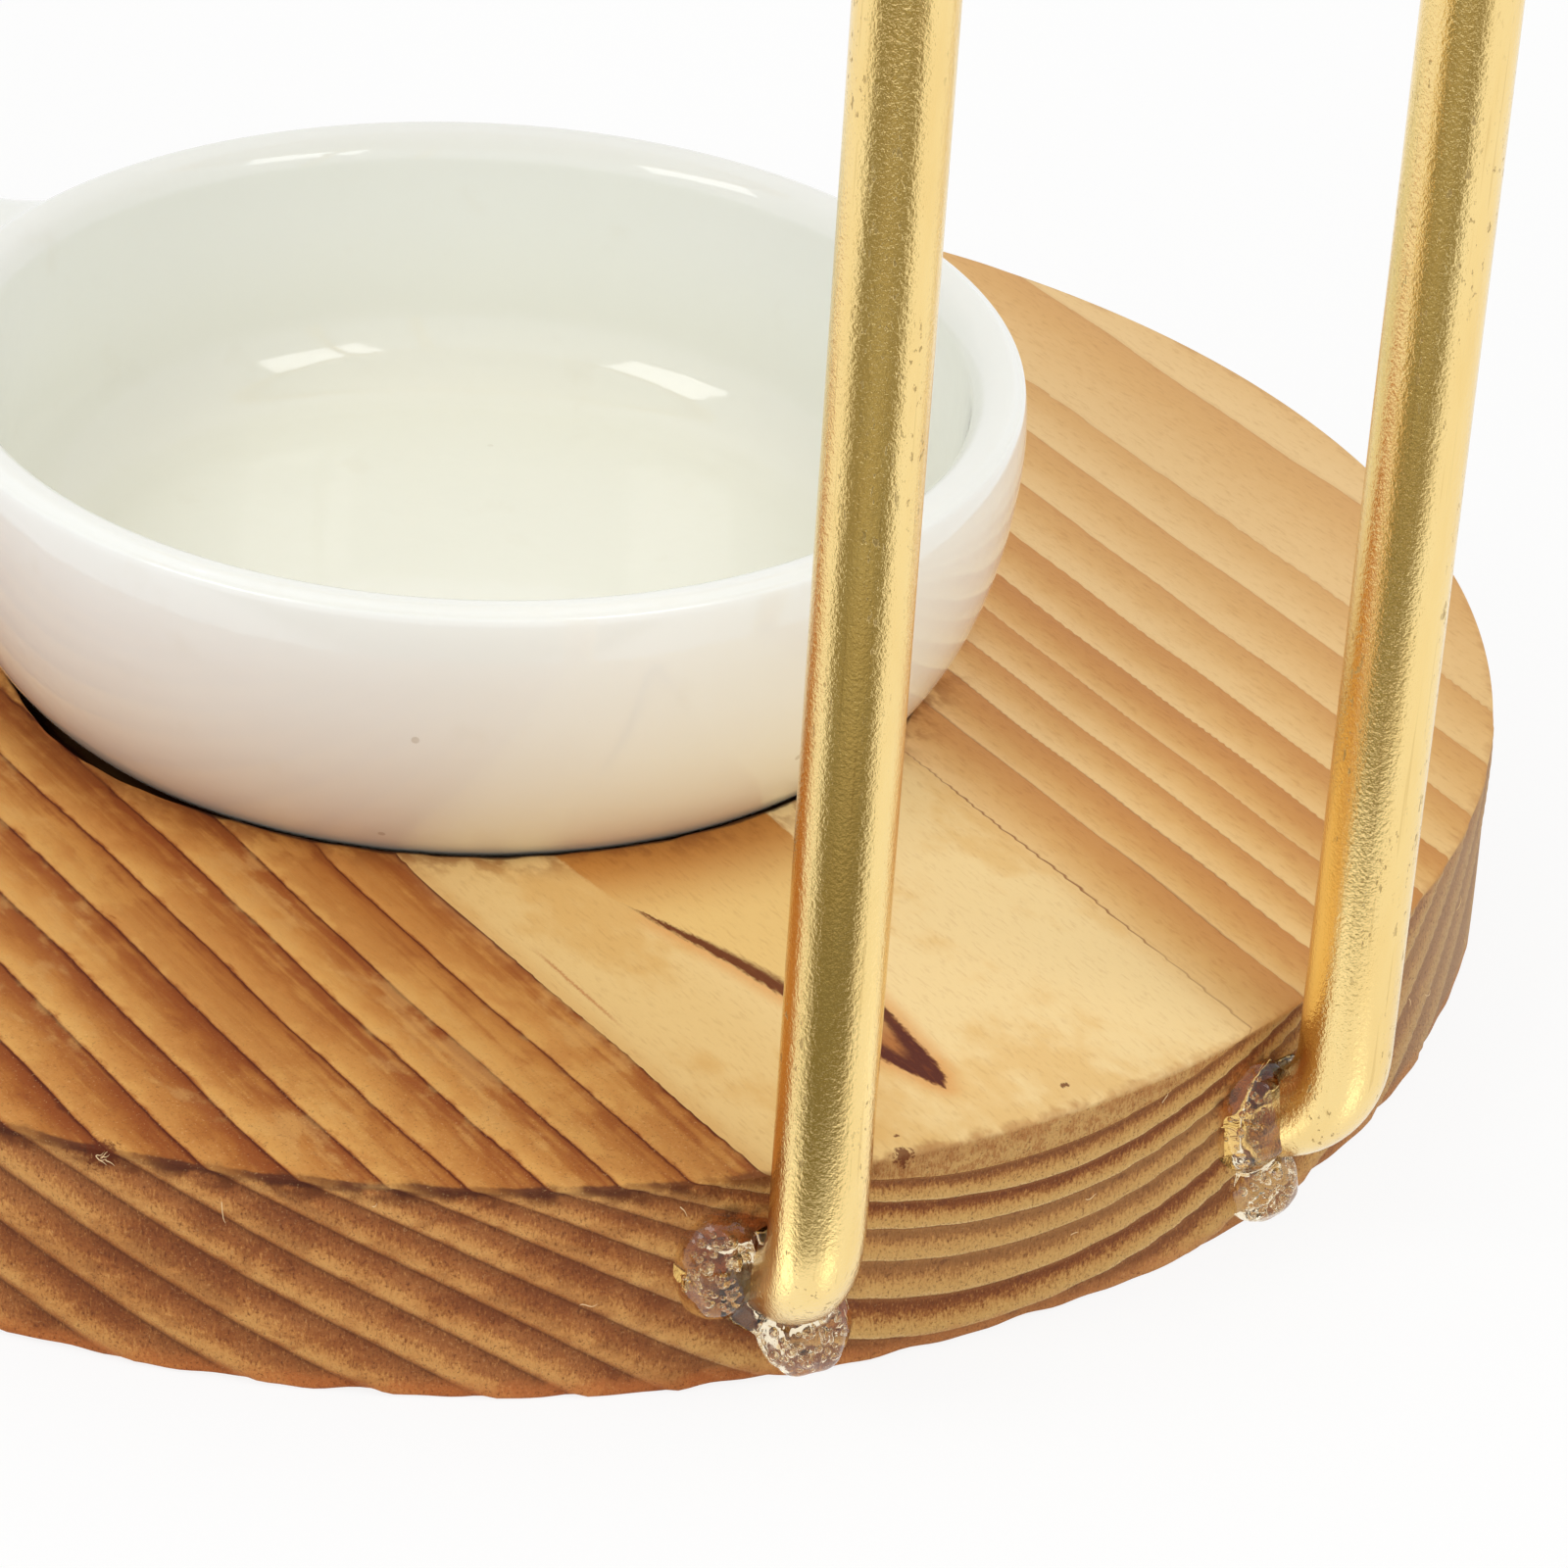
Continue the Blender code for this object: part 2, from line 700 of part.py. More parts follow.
def build():
    """Makes every piece of the burner."""
    clear_scene()
    pieces = new_collection("tealight_oil_burner")
    helpers = new_collection("helpers", hidden=True)
    wire_finish = gold_plated_wire()
    glaze = ivory_glaze()
    glue = clear_glue()

    wooden_base(pieces, helpers)
    tealight_cup(pieces, helpers, glaze)
    oil_bowl(pieces, glaze)
    _, ring_room = bowl_ring(pieces, helpers, wire_finish)
    base_room = cylinder_helper(
        "base_room",
        BASE_RADIUS + SEAT_GAP,
        -CUTTER_REACH,
        BASE_THICKNESS + CUTTER_REACH,
        BASE_STEPS,
        helpers,
    )
    for side in SIDES:
        upright(side, ring_room, pieces, wire_finish)
        wire_room = make_helper(
            wire_helper(f"wire_room_{side}", upright_route(side), WIRE_RADIUS + SEAT_GAP, helpers)
        )
        weld_bead(side, ring_room, wire_room, pieces, wire_finish)
        glue_bead(side, base_room, wire_room, pieces, helpers, glue)


build()
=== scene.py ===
"""Looks of the tealight oil burner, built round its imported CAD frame.

A torched pine disc carries two gold-plated wire uprights, glued into its side, and a wire ring
that holds a glazed oil bowl. A glazed tealight cup with a lug handle stands in the disc's recess.
Everything is in metres, +Z up, in the frame of the CAD model. The wood's growth rings and all that
the finishes measure are in millimetres instead.
"""

import logging
import math
from dataclasses import dataclass, field
from enum import Enum
from typing import Iterable, Sequence

import bmesh
import bpy
import numpy as np
from mathutils import Matrix, Vector, noise


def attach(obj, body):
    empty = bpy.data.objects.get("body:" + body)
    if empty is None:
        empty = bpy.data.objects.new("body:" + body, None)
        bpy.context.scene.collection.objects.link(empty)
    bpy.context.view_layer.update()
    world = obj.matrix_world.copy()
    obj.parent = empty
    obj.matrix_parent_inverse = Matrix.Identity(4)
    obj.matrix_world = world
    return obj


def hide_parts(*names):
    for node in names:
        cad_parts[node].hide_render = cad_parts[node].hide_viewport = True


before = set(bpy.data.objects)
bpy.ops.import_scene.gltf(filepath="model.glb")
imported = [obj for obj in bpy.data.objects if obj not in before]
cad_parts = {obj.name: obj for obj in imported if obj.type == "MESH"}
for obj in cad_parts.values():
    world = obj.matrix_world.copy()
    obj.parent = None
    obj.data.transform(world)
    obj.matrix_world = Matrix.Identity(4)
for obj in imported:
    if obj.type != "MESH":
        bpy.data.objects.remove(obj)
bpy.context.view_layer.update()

LOG = logging.getLogger("oil_burner")
MM = 0.001
WHITE = (1.0, 1.0, 1.0, 1.0)

Colour = tuple[float, float, float]
Point = tuple[float, float, float]
Spot = tuple[Point, float]
Ramp = tuple[tuple[float, Colour], ...]
Curve = tuple[tuple[float, float], ...]


class Side(Enum):
    """The burner's two uprights, seen from the cup's side."""

    LEFT = -1
    RIGHT = 1


class Body(Enum):
    """The bodies that pieces ride on."""

    STAND = "stand"
    CUP = "tealight_cup"
    BOWL = "oil_bowl"


# Curves and meshes


def srgb(red: float, green: float, blue: float) -> tuple[float, float, float, float]:
    """Turns a screen colour, 0 to 255, into the linear colour that shaders take.

    Args:
        red: The red share.
        green: The green share.
        blue: The blue share.

    Returns:
        The linear colour with full alpha.
    """
    linear = []
    for share in (red, green, blue):
        value = share / 255
        linear.append(value / 12.92 if value <= 0.04045 else ((value + 0.055) / 1.055) ** 2.4)
    return (linear[0], linear[1], linear[2], 1.0)


def smooth(low: float, high: float, value: np.ndarray) -> np.ndarray:
    """Rises softly from 0 at low to 1 at high.

    Args:
        low: Where it leaves 0.
        high: Where it reaches 1. It may lie under low.
        value: Where to read it.

    Returns:
        The risen share, one for each value.
    """
    share = np.clip((value - low) / (high - low), 0.0, 1.0)
    return share * share * (3 - 2 * share)


def full_turn(count: int) -> np.ndarray:
    """Evenly spaced bearings once round, in radians."""
    return np.linspace(0, 2 * math.pi, count, endpoint=False)


def arc(
    centre: tuple[float, float], run: float, rise: float, start: float, end: float, count: int
) -> np.ndarray:
    """Points along an elliptical arc.

    Args:
        centre: The arc's centre, as radius and height.
        run: Its half width.
        rise: Its half height.
        start: The first angle, in degrees.
        end: The last angle, in degrees.
        count: How many steps it takes.

    Returns:
        The points, one row of radius and height each, both ends included.
    """
    angles = np.radians(np.linspace(start, end, count + 1))
    return np.stack([centre[0] + run * np.cos(angles), centre[1] + rise * np.sin(angles)], 1)


def cubic(handles: Curve, count: int) -> np.ndarray:
    """Points along a cubic curve.

    Args:
        handles: The curve's four handles, as radius and height.
        count: How many steps it takes.

    Returns:
        The points, both ends included.
    """
    t = np.linspace(0.0, 1.0, count + 1)[:, None]
    p = np.array(handles)
    return (1 - t) ** 3 * p[0] + 3 * (1 - t) ** 2 * t * p[1] + 3 * (1 - t) * t**2 * p[2] + t**3 * p[3]


def line(start: tuple[float, float], end: tuple[float, float], spacing: float) -> np.ndarray:
    """Evenly spaced points on a straight line, both ends included."""
    count = max(1, round(math.dist(start, end) / spacing))
    return np.linspace(start, end, count + 1)


def joined(*runs: np.ndarray) -> np.ndarray:
    """One profile from several runs, each of which starts where the last one ended."""
    return np.concatenate([runs[0]] + [run[1:] for run in runs[1:]])


def link_mesh(name: str, mesh: bpy.types.Mesh) -> bpy.types.Object:
    """Shades a mesh smooth and puts it into the scene.

    Args:
        name: The object's name.
        mesh: Its mesh.

    Returns:
        The object.
    """
    mesh.shade_smooth()
    obj = bpy.data.objects.new(name, mesh)
    bpy.context.scene.collection.objects.link(obj)
    return obj


def add_built(name: str, built: bmesh.types.BMesh) -> bpy.types.Object:
    """Makes an object of a mesh under construction, which is used up.

    Args:
        name: The object's name.
        built: The mesh under construction.

    Returns:
        The object, linked to the scene.
    """
    mesh = bpy.data.meshes.new(name)
    built.to_mesh(mesh)
    built.free()
    return link_mesh(name, mesh)


def add_mesh(name: str, points: np.ndarray, faces: Iterable[Sequence[int]]) -> bpy.types.Object:
    """Makes a smooth-shaded mesh object.

    Args:
        name: The object's name.
        points: Its corners, one row each.
        faces: Its faces, as indices into the points.

    Returns:
        The object, linked to the scene.
    """
    mesh = bpy.data.meshes.new(name)
    mesh.from_pydata(np.asarray(points).tolist(), [], [tuple(int(i) for i in f) for f in faces])
    return link_mesh(name, mesh)


def ring_faces(rows: int, steps: int, first: int = 0, closed_ends: bool = False) -> list[tuple[int, ...]]:
    """Quads between rows of points that each close on themselves.

    Args:
        rows: How many rows there are.
        steps: How many points each row has.
        first: The index of the first point.
        closed_ends: Whether one face closes each end row.

    Returns:
        The faces, turned outwards for rows that run down an outer side.
    """
    start = first + np.arange(rows - 1)[:, None] * steps
    here = np.arange(steps)[None, :]
    after = (here + 1) % steps
    quads = np.stack([start + here, start + steps + here, start + steps + after, start + after], -1)
    faces = [tuple(quad) for quad in quads.reshape(-1, 4)]
    if closed_ends:
        faces.append(tuple(first + i for i in range(steps)))
        faces.append(tuple(first + (rows - 1) * steps + i for i in reversed(range(steps))))
    return faces


def turned_points(profile: np.ndarray, bearings: np.ndarray) -> np.ndarray:
    """Turns a profile about Z.

    Args:
        profile: Rows of radius and height.
        bearings: The bearings to place it at, in radians.

    Returns:
        Points by profile row and bearing.
    """
    radius = profile[:, 0][:, None]
    heights = np.broadcast_to(profile[:, 1][:, None], (len(profile), len(bearings)))
    return np.stack([radius * np.cos(bearings), radius * np.sin(bearings), heights], -1)


def pole_faces(count: int, steps: int) -> list[tuple[int, ...]]:
    """Triangles that close a solid of revolution about the first and the last of its points.

    Args:
        count: How many rows lie between those two points.
        steps: How many points each row has.

    Returns:
        The faces.
    """
    faces = []
    end = 1 + (count - 1) * steps
    for i in range(steps):
        after = (i + 1) % steps
        faces.append((0, 1 + i, 1 + after))
        faces.append((end + i, end + steps, end + after))
    return faces


def turned(name: str, profile: np.ndarray, rows: np.ndarray) -> bpy.types.Object:
    """A solid of revolution whose profile starts and ends on the axis.

    Args:
        name: The object's name.
        profile: Radius and height, from the axis down the outer side and back to the axis.
        rows: The points of every profile row but the first and last, by row and bearing.

    Returns:
        The closed mesh object.
    """
    count, steps = rows.shape[:2]
    points = np.concatenate([[(0, 0, profile[0, 1])], rows.reshape(-1, 3), [(0, 0, profile[-1, 1])]])
    return add_mesh(name, points, ring_faces(count, steps, first=1) + pole_faces(count, steps))


def tube(name: str, route: np.ndarray, radius: np.ndarray | float, sides: int) -> bpy.types.Object:
    """A closed tube along an open route.

    Args:
        name: The object's name.
        route: Points of its centreline.
        radius: One radius, or one for each point.
        sides: How many sides it has.

    Returns:
        The mesh object.
    """
    radii = np.broadcast_to(radius, (len(route),))
    along = np.gradient(route, axis=0)
    along /= np.linalg.norm(along, axis=1)[:, None]
    across = np.cross(along[0], (0.3, 0.5, 0.8))
    angles = full_turn(sides)[:, None]
    rows = []
    for place, way, reach in zip(route, along, radii):
        across = across - way * (across @ way)
        across /= np.linalg.norm(across)
        up = np.cross(way, across)
        rows.append(place + reach * (np.cos(angles) * across - np.sin(angles) * up))
    return add_mesh(name, np.concatenate(rows), ring_faces(len(rows), sides, closed_ends=True))


def torus(
    name: str, centre_radius: float, height: float, radius: float, steps: int, sides: int
) -> bpy.types.Object:
    """A ring of wire about the Z axis.

    Args:
        name: The object's name.
        centre_radius: The radius of its centreline.
        height: The height of its centreline.
        radius: The wire's radius.
        steps: How many steps it takes round the axis.
        sides: How many sides the wire has.

    Returns:
        The mesh object.
    """
    angles = full_turn(sides)
    section = np.stack([centre_radius + radius * np.cos(angles), height - radius * np.sin(angles)], 1)
    points = turned_points(section, full_turn(steps)).reshape(-1, 3)
    faces = ring_faces(sides + 1, steps)
    return add_mesh(name, points, [[i % len(points) for i in face] for face in faces])


def cut_away(obj: bpy.types.Object, tool: bpy.types.Object) -> None:
    """Cuts one object from another and removes it.

    Args:
        obj: The object that stays.
        tool: The object that is used up.
    """
    step = obj.modifiers.new("cut", "BOOLEAN")
    step.object = tool
    step.operation = "DIFFERENCE"
    step.solver = "EXACT"
    apply_modifiers(obj)
    bpy.data.objects.remove(tool)


def apply_modifiers(obj: bpy.types.Object) -> None:
    """Replaces an object's mesh by what its modifiers make of it.

    Args:
        obj: The object.
    """
    graph = bpy.context.evaluated_depsgraph_get()
    graph.update()
    made = bpy.data.meshes.new_from_object(obj.evaluated_get(graph))
    made.name = obj.name
    obj.modifiers.clear()
    obj.data = made


def shade_with_edges(obj: bpy.types.Object, degrees: float) -> None:
    """Shades an object smooth, but for edges at which its surface turns by more than an angle."""
    obj.data.shade_smooth()
    obj.data.set_sharp_from_angle(angle=math.radians(degrees))


def corner_array(mesh: bpy.types.Mesh) -> np.ndarray:
    """The mesh's corners, one row each.

    Args:
        mesh: The mesh.

    Returns:
        The corners, in double precision.
    """
    co = np.empty(len(mesh.vertices) * 3, np.float32)
    mesh.vertices.foreach_get("co", co)
    return co.reshape(-1, 3).astype(float)


def set_corners(obj: bpy.types.Object, points: np.ndarray) -> None:
    """Moves the object's corners."""
    obj.data.vertices.foreach_set("co", points.astype(np.float32).ravel())
    obj.data.update()


def add_attribute(obj: bpy.types.Object, name: str, values: np.ndarray) -> None:
    """Stores one number at each corner, for the finish to read."""
    attribute = obj.data.attributes.new(name, "FLOAT", "POINT")
    attribute.data.foreach_set("value", values.astype(np.float32))


def lumpiness(points: np.ndarray, size: float, seed: float) -> np.ndarray:
    """Smooth noise at points.

    Args:
        points: Where to read it, in metres.
        size: How wide its lumps are, in metres.
        seed: What tells one piece's noise from another's.

    Returns:
        Values from about -1 to 1.
    """
    shift = Vector((seed, 2 * seed, 3 * seed))
    return np.array([noise.noise(Vector(p / size) + shift) for p in points])


def finish_piece(
    obj: bpy.types.Object, material: bpy.types.Material, body: Body, replaced: Sequence[str]
) -> bpy.types.Object:
    """Dresses a piece and says what it rides on and stands for.

    Args:
        obj: The piece.
        material: Its finish.
        body: The body that it rides on.
        replaced: The CAD nodes that it stands for.

    Returns:
        The same piece.
    """
    obj.data.materials.clear()
    obj.data.materials.append(material)
    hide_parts(*replaced)
    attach(obj, body.value)
    LOG.info("%s: %d faces on %s", obj.name, len(obj.data.polygons), body.value)
    return obj


# Shader graphs


class Wire:
    """A number, vector or colour on its way from one shader node to the next."""

    def __init__(self, graph: "Graph", socket: bpy.types.NodeSocket) -> None:
        """Keeps the socket and the graph that it belongs to."""
        self.graph = graph
        self.socket = socket

    def __add__(self, other: "Wire | float") -> "Wire":
        """Adds a number."""
        return self.graph.math("ADD", self, other)

    def __sub__(self, other: "Wire | float") -> "Wire":
        """Takes a number away."""
        return self.graph.math("SUBTRACT", self, other)

    def __mul__(self, other: "Wire | float") -> "Wire":
        """Multiplies by a number."""
        return self.graph.math("MULTIPLY", self, other)

    def __truediv__(self, other: "Wire | float") -> "Wire":
        """Divides by a number."""
        return self.graph.math("DIVIDE", self, other)

    def __rsub__(self, other: float) -> "Wire":
        """What is left of a plain number."""
        return self.graph.math("SUBTRACT", other, self)

    __radd__ = __add__
    __rmul__ = __mul__


class Graph:
    """The node graph of one material, or of the world."""

    def __init__(self, owner: bpy.types.Material | bpy.types.World) -> None:
        """Empties the owner's nodes, but for an output.

        Args:
            owner: The material or the world.
        """
        owner.use_nodes = True
        self.owner = owner
        self.tree = owner.node_tree
        self.tree.nodes.clear()
        kind = "World" if isinstance(owner, bpy.types.World) else "Material"
        self.output = self.tree.nodes.new("ShaderNodeOutput" + kind)

    @classmethod
    def of_material(cls, name: str) -> "Graph":
        """The graph of a new material."""
        return cls(bpy.data.materials.new(name))

    def feed(self, socket: bpy.types.NodeSocket, value: object) -> None:
        """Joins a wire to a socket, or sets its number.

        Args:
            socket: The input.
            value: A wire, or what the input is set to.
        """
        if isinstance(value, Wire):
            self.tree.links.new(value.socket, socket)
        else:
            socket.default_value = value

    def node(self, kind: str, inputs: dict | None = None, **settings: object) -> bpy.types.Node:
        """Adds a node.

        Args:
            kind: The node's type, without its ShaderNode prefix.
            inputs: What to feed each input, by name or index.
            settings: The node's own settings.

        Returns:
            The node.
        """
        made = self.tree.nodes.new("ShaderNode" + kind)
        for name, value in settings.items():
            setattr(made, name, value)
        for name, value in (inputs or {}).items():
            self.feed(made.inputs[name], value)
        return made

    def math(self, operation: str, first: Wire | float, second: Wire | float = 0.0) -> Wire:
        """One step of arithmetic."""
        return Wire(self, self.node("Math", {0: first, 1: second}, operation=operation).outputs[0])

    def vector_math(
        self, operation: str, first: Wire, second: Point = (0.0, 0.0, 0.0), out: str = "Vector"
    ) -> Wire:
        """One step of arithmetic with vectors."""
        return Wire(self, self.node("VectorMath", {0: first, 1: second}, operation=operation).outputs[out])

    def rise(self, value: Wire, low: float, high: float, start: float = 0.0, end: float = 1.0) -> Wire:
        """Goes softly from start, where the value is low, to end, where it is high."""
        inputs = {0: value, 1: low, 2: high, 3: start, 4: end}
        return Wire(self, self.node("MapRange", inputs, interpolation_type="SMOOTHSTEP").outputs[0])

    def bell(self, value: Wire, width: float) -> Wire:
        """Is 1 where the value is 0, and fades to 0 a width to either side."""
        return self.rise(self.math("ABSOLUTE", value), 0.0, width, 1.0, 0.0)

    def place(self) -> Wire:
        """The point on the surface, in millimetres at rest."""
        here = Wire(self, self.node("TexCoord").outputs["Object"])
        return self.vector_math("MULTIPLY", here, (1000.0, 1000.0, 1000.0))

    def distance(self, vector: Wire, point: Point) -> Wire:
        """How far a vector is from a point."""
        return self.vector_math("DISTANCE", vector, point, "Value")

    def length(self, vector: Wire) -> Wire:
        """How long a vector is."""
        return self.vector_math("LENGTH", vector, out="Value")

    def axes(self, vector: Wire) -> tuple[Wire, Wire, Wire]:
        """A vector's three numbers."""
        parts = self.node("SeparateXYZ", {0: vector})
        return tuple(Wire(self, out) for out in parts.outputs)

    def vector(self, x: Wire | float, y: Wire | float, z: Wire | float) -> Wire:
        """A vector of three numbers."""
        return Wire(self, self.node("CombineXYZ", {0: x, 1: y, 2: z}).outputs[0])

    def attribute(self, name: str) -> Wire:
        """A number that the mesh holds."""
        return Wire(self, self.node("Attribute", attribute_name=name).outputs["Fac"])

    def noise(self, vector: Wire, scale: float, detail: float = 2.0, roughness: float = 0.5) -> Wire:
        """Soft noise, about 0.5 on average."""
        inputs = {"Vector": vector, "Scale": scale, "Detail": detail, "Roughness": roughness}
        return Wire(self, self.node("TexNoise", inputs).outputs[0])

    def stretched(self, vector: Wire, factors: Point, detail: float = 2.0, roughness: float = 0.5) -> Wire:
        """Soft noise with a scale of its own along each axis."""
        return self.noise(self.vector_math("MULTIPLY", vector, factors), 1.0, detail, roughness)

    def cells(self, vector: Wire, scale: float) -> Wire:
        """The distance to the nearest of scattered points."""
        return Wire(self, self.node("TexVoronoi", {"Vector": vector, "Scale": scale}).outputs["Distance"])

    def mix(self, share: Wire | float, first: object, second: object, blend: str = "MIX") -> Wire:
        """Mixes two colours."""
        made = self.node("Mix", {0: share, 6: first, 7: second}, data_type="RGBA", blend_type=blend)
        return Wire(self, made.outputs[2])

    def paint(self, colour: object, share: Wire | float, over: Colour) -> Wire:
        """Lays a screen colour over a colour."""
        return self.mix(share, colour, srgb(*over))

    def stain(self, colour: object, share: Wire | float, tint: Colour) -> Wire:
        """Multiplies a colour by a screen colour."""
        return self.mix(share, colour, self.mix(1.0, colour, srgb(*tint), "MULTIPLY"))

    def ramp(self, value: Wire, stops: Ramp) -> Wire:
        """Colours laid out along a number from 0 to 1.

        Args:
            value: The number.
            stops: Places and screen colours.

        Returns:
            The colour.
        """
        made = self.node("ValToRGB", {0: value})
        marks = made.color_ramp.elements
        while len(marks) < len(stops):
            marks.new(0.5)
        for mark, (place, _) in zip(marks, stops):
            mark.position = place
        for mark, (_, colour) in zip(marks, stops):
            mark.color = srgb(*colour)
        return Wire(self, made.outputs[0])

    def bump(self, height: Wire, distance: float, strength: float = 1.0, under: Wire | None = None) -> Wire:
        """Turns a height into a tilted normal.

        Args:
            height: The height, 0 to 1.
            distance: How high 1 is, in metres.
            strength: How much of it shows.
            under: A normal that it adds to.

        Returns:
            The normal.
        """
        inputs = {"Height": height, "Distance": distance, "Strength": strength}
        if under:
            inputs["Normal"] = under
        return Wire(self, self.node("Bump", inputs).outputs[0])

    def surface(self, **inputs: object) -> bpy.types.Material:
        """Ends the graph in a Principled shader.

        Args:
            inputs: What to feed the shader, with underscores for the spaces of its sockets' names.

        Returns:
            The material.
        """
        shader = self.node("BsdfPrincipled")
        for name, value in inputs.items():
            self.feed(shader.inputs[name.replace("_", " ")], value)
        return self.end(shader)

    def seen(self) -> Wire:
        """Is 1 for the eye, be it straight, in a reflection or through glass, and 0 for plain light.

        Returns:
            The number.
        """
        path, kinds = self.node("LightPath"), ("Camera", "Glossy", "Transmission")
        eye, mirror, glass = (Wire(self, path.outputs[f"Is {kind} Ray"]) for kind in kinds)
        return self.math("MAXIMUM", self.math("MAXIMUM", eye, mirror), glass)

    def glow(self, colour: object, strength: float = 1.0) -> bpy.types.Node:
        """A shader that shines by itself."""
        return self.node("Emission", {"Color": colour, "Strength": strength})

    def blended(self, share: Wire, first: bpy.types.Node, second: bpy.types.Node) -> bpy.types.Node:
        """Mixes two shaders."""
        inputs = {0: share, 1: Wire(self, first.outputs[0]), 2: Wire(self, second.outputs[0])}
        return self.node("MixShader", inputs)

    def end(self, shader: bpy.types.Node) -> bpy.types.Material | bpy.types.World:
        """Joins a shader to the output and hands back what the graph belongs to."""
        self.tree.links.new(shader.outputs[0], self.output.inputs["Surface"])
        return self.owner


# The wood


@dataclass(frozen=True)
class GrowthRings:
    """The growth rings of a flat-sawn board whose grain runs along Y, in millimetres.

    The rings lie one outside the next about a pith high above the board. Their crown meets the top
    face near its middle, so that one ring shows there as a pointed tongue. Each row of the tongue's
    two sides is a place along the grain, the side's place across it, and how thick its dark line is.
    """

    crown_x: float = 1.4
    tongue_end_y: float = 46.0
    tongue_end_x: float = 3.6
    taper: float = 0.5
    growth_down: float = 68.0
    side_steepness: float = 0.3
    steep_from: float = 12.0
    steep_to: float = 30.0
    crown_growth: float = 42.0
    crown_depth: float = 0.8
    crown_share: float = 0.35
    waver: float = 0.13
    right_edges: tuple[float, ...] = (12.85, 15.9, 18.7, 21.5, 24.4, 27.2, 30.2, 33.0, 35.9)
    left_edges: tuple[float, ...] = (12.6, 16.3, 19.0, 21.5, 24.1, 26.6, 29.7, 33.2, 36.9, 40.3, 47.5, 53.5)
    spacing: float = 2.87
    more_rings: int = 9
    tongue_left: tuple[Point, ...] = (
        (-60.0, -3.2, 0.0), (25.0, -2.4, 0.0), (30.0, -0.6, 0.0), (36.0, 1.4, 0.25), (38.6, 2.2, 0.45),
        (40.0, 2.25, 0.55), (41.0, 2.4, 0.6), (42.0, 2.55, 0.7), (43.0, 2.65, 0.85), (44.0, 2.8, 1.1),
        (45.2, 3.1, 3.0), (46.0, 3.6, 3.0),
    )
    tongue_right: tuple[Point, ...] = (
        (-60.0, 9.5, 0.0), (23.0, 8.2, 0.0), (25.8, 7.95, 0.0), (27.5, 7.5, 0.14), (29.0, 7.25, 0.38),
        (31.0, 6.75, 0.55), (33.0, 6.3, 0.7), (35.0, 5.95, 0.8), (42.0, 4.8, 0.75), (43.0, 4.7, 0.85),
        (44.5, 4.15, 1.3), (45.5, 3.85, 3.0), (46.0, 3.6, 3.0),
    )

    def reach(self, x: np.ndarray, y: np.ndarray, depth: np.ndarray) -> np.ndarray:
        """How far out from the crown a point of the wood lies.

        Args:
            x: Places across the grain.
            y: Places along the grain.
            depth: Depths under the top face.

        Returns:
            The reach, in millimetres as it is measured on the top face.
        """
        across = (x - self.crown_x) ** 2
        steeper = 1 + self.side_steepness * smooth(self.steep_from, self.steep_to, x)
        under_crown = self.crown_growth * (1 - np.exp(-np.maximum(depth, 0) / self.crown_depth))
        down = self.growth_down * steeper * depth + under_crown
        along = self.taper * (y - self.tongue_end_y)
        waves = np.sin(0.10 * y + 0.05 * x) + 0.5 * np.sin(0.23 * y - 0.13 * x + 1.3)
        waves = waves + 0.22 * np.sin(0.61 * y + 0.3 * x)
        return np.sqrt(np.maximum(across + down + along, 0.0)) + self.waver * waves

    def age(self, x: np.ndarray, y: np.ndarray, depth: np.ndarray) -> np.ndarray:
        """Counts rings outwards from the first one that crosses the whole top.

        Args:
            x: Places across the grain.
            y: Places along the grain.
            depth: Depths under the top face.

        Returns:
            0 at the first ring's edge, 1 at the next, and so on, and down to -1 at the crown.
        """
        reach = self.reach(x, y, depth)
        ages = []
        for edges in (self.left_edges, self.right_edges):
            more = [edges[-1] + self.spacing * (i + 1) for i in range(self.more_rings)]
            near = edges[0] - (edges[1] - edges[0]) * self.crown_share
            counts = [-1.0, -self.crown_share, *range(len(edges) + len(more))]
            ages.append(np.interp(reach, [0.0, near, *edges, *more], counts))
        share = smooth(-4.0, 6.0, x - self.crown_x)
        return ages[0] * (1 - share) + ages[1] * share

    def tongue(self, x: np.ndarray, y: np.ndarray) -> tuple[np.ndarray, np.ndarray]:
        """Where the pointed tongue lies on the top.

        Args:
            x: Places across the grain.
            y: Places along the grain.

        Returns:
            How far each place lies from the tongue's edge, less than 0 inside it, and how thick the
            dark line along the nearer edge is.
        """
        left, right = np.array(self.tongue_left), np.array(self.tongue_right)
        left_x, left_line = (np.interp(y, left[:, 0], left[:, i]) for i in (1, 2))
        right_x, right_line = (np.interp(y, right[:, 0], right[:, i]) for i in (1, 2))
        past_left, past_right = left_x - x, x - right_x
        away = np.maximum(past_left, past_right)
        beyond = np.hypot(x - self.tongue_end_x, y - self.tongue_end_y)
        away = np.where(y > self.tongue_end_y, beyond, away)
        return away, np.where(past_left > past_right, left_line, right_line)


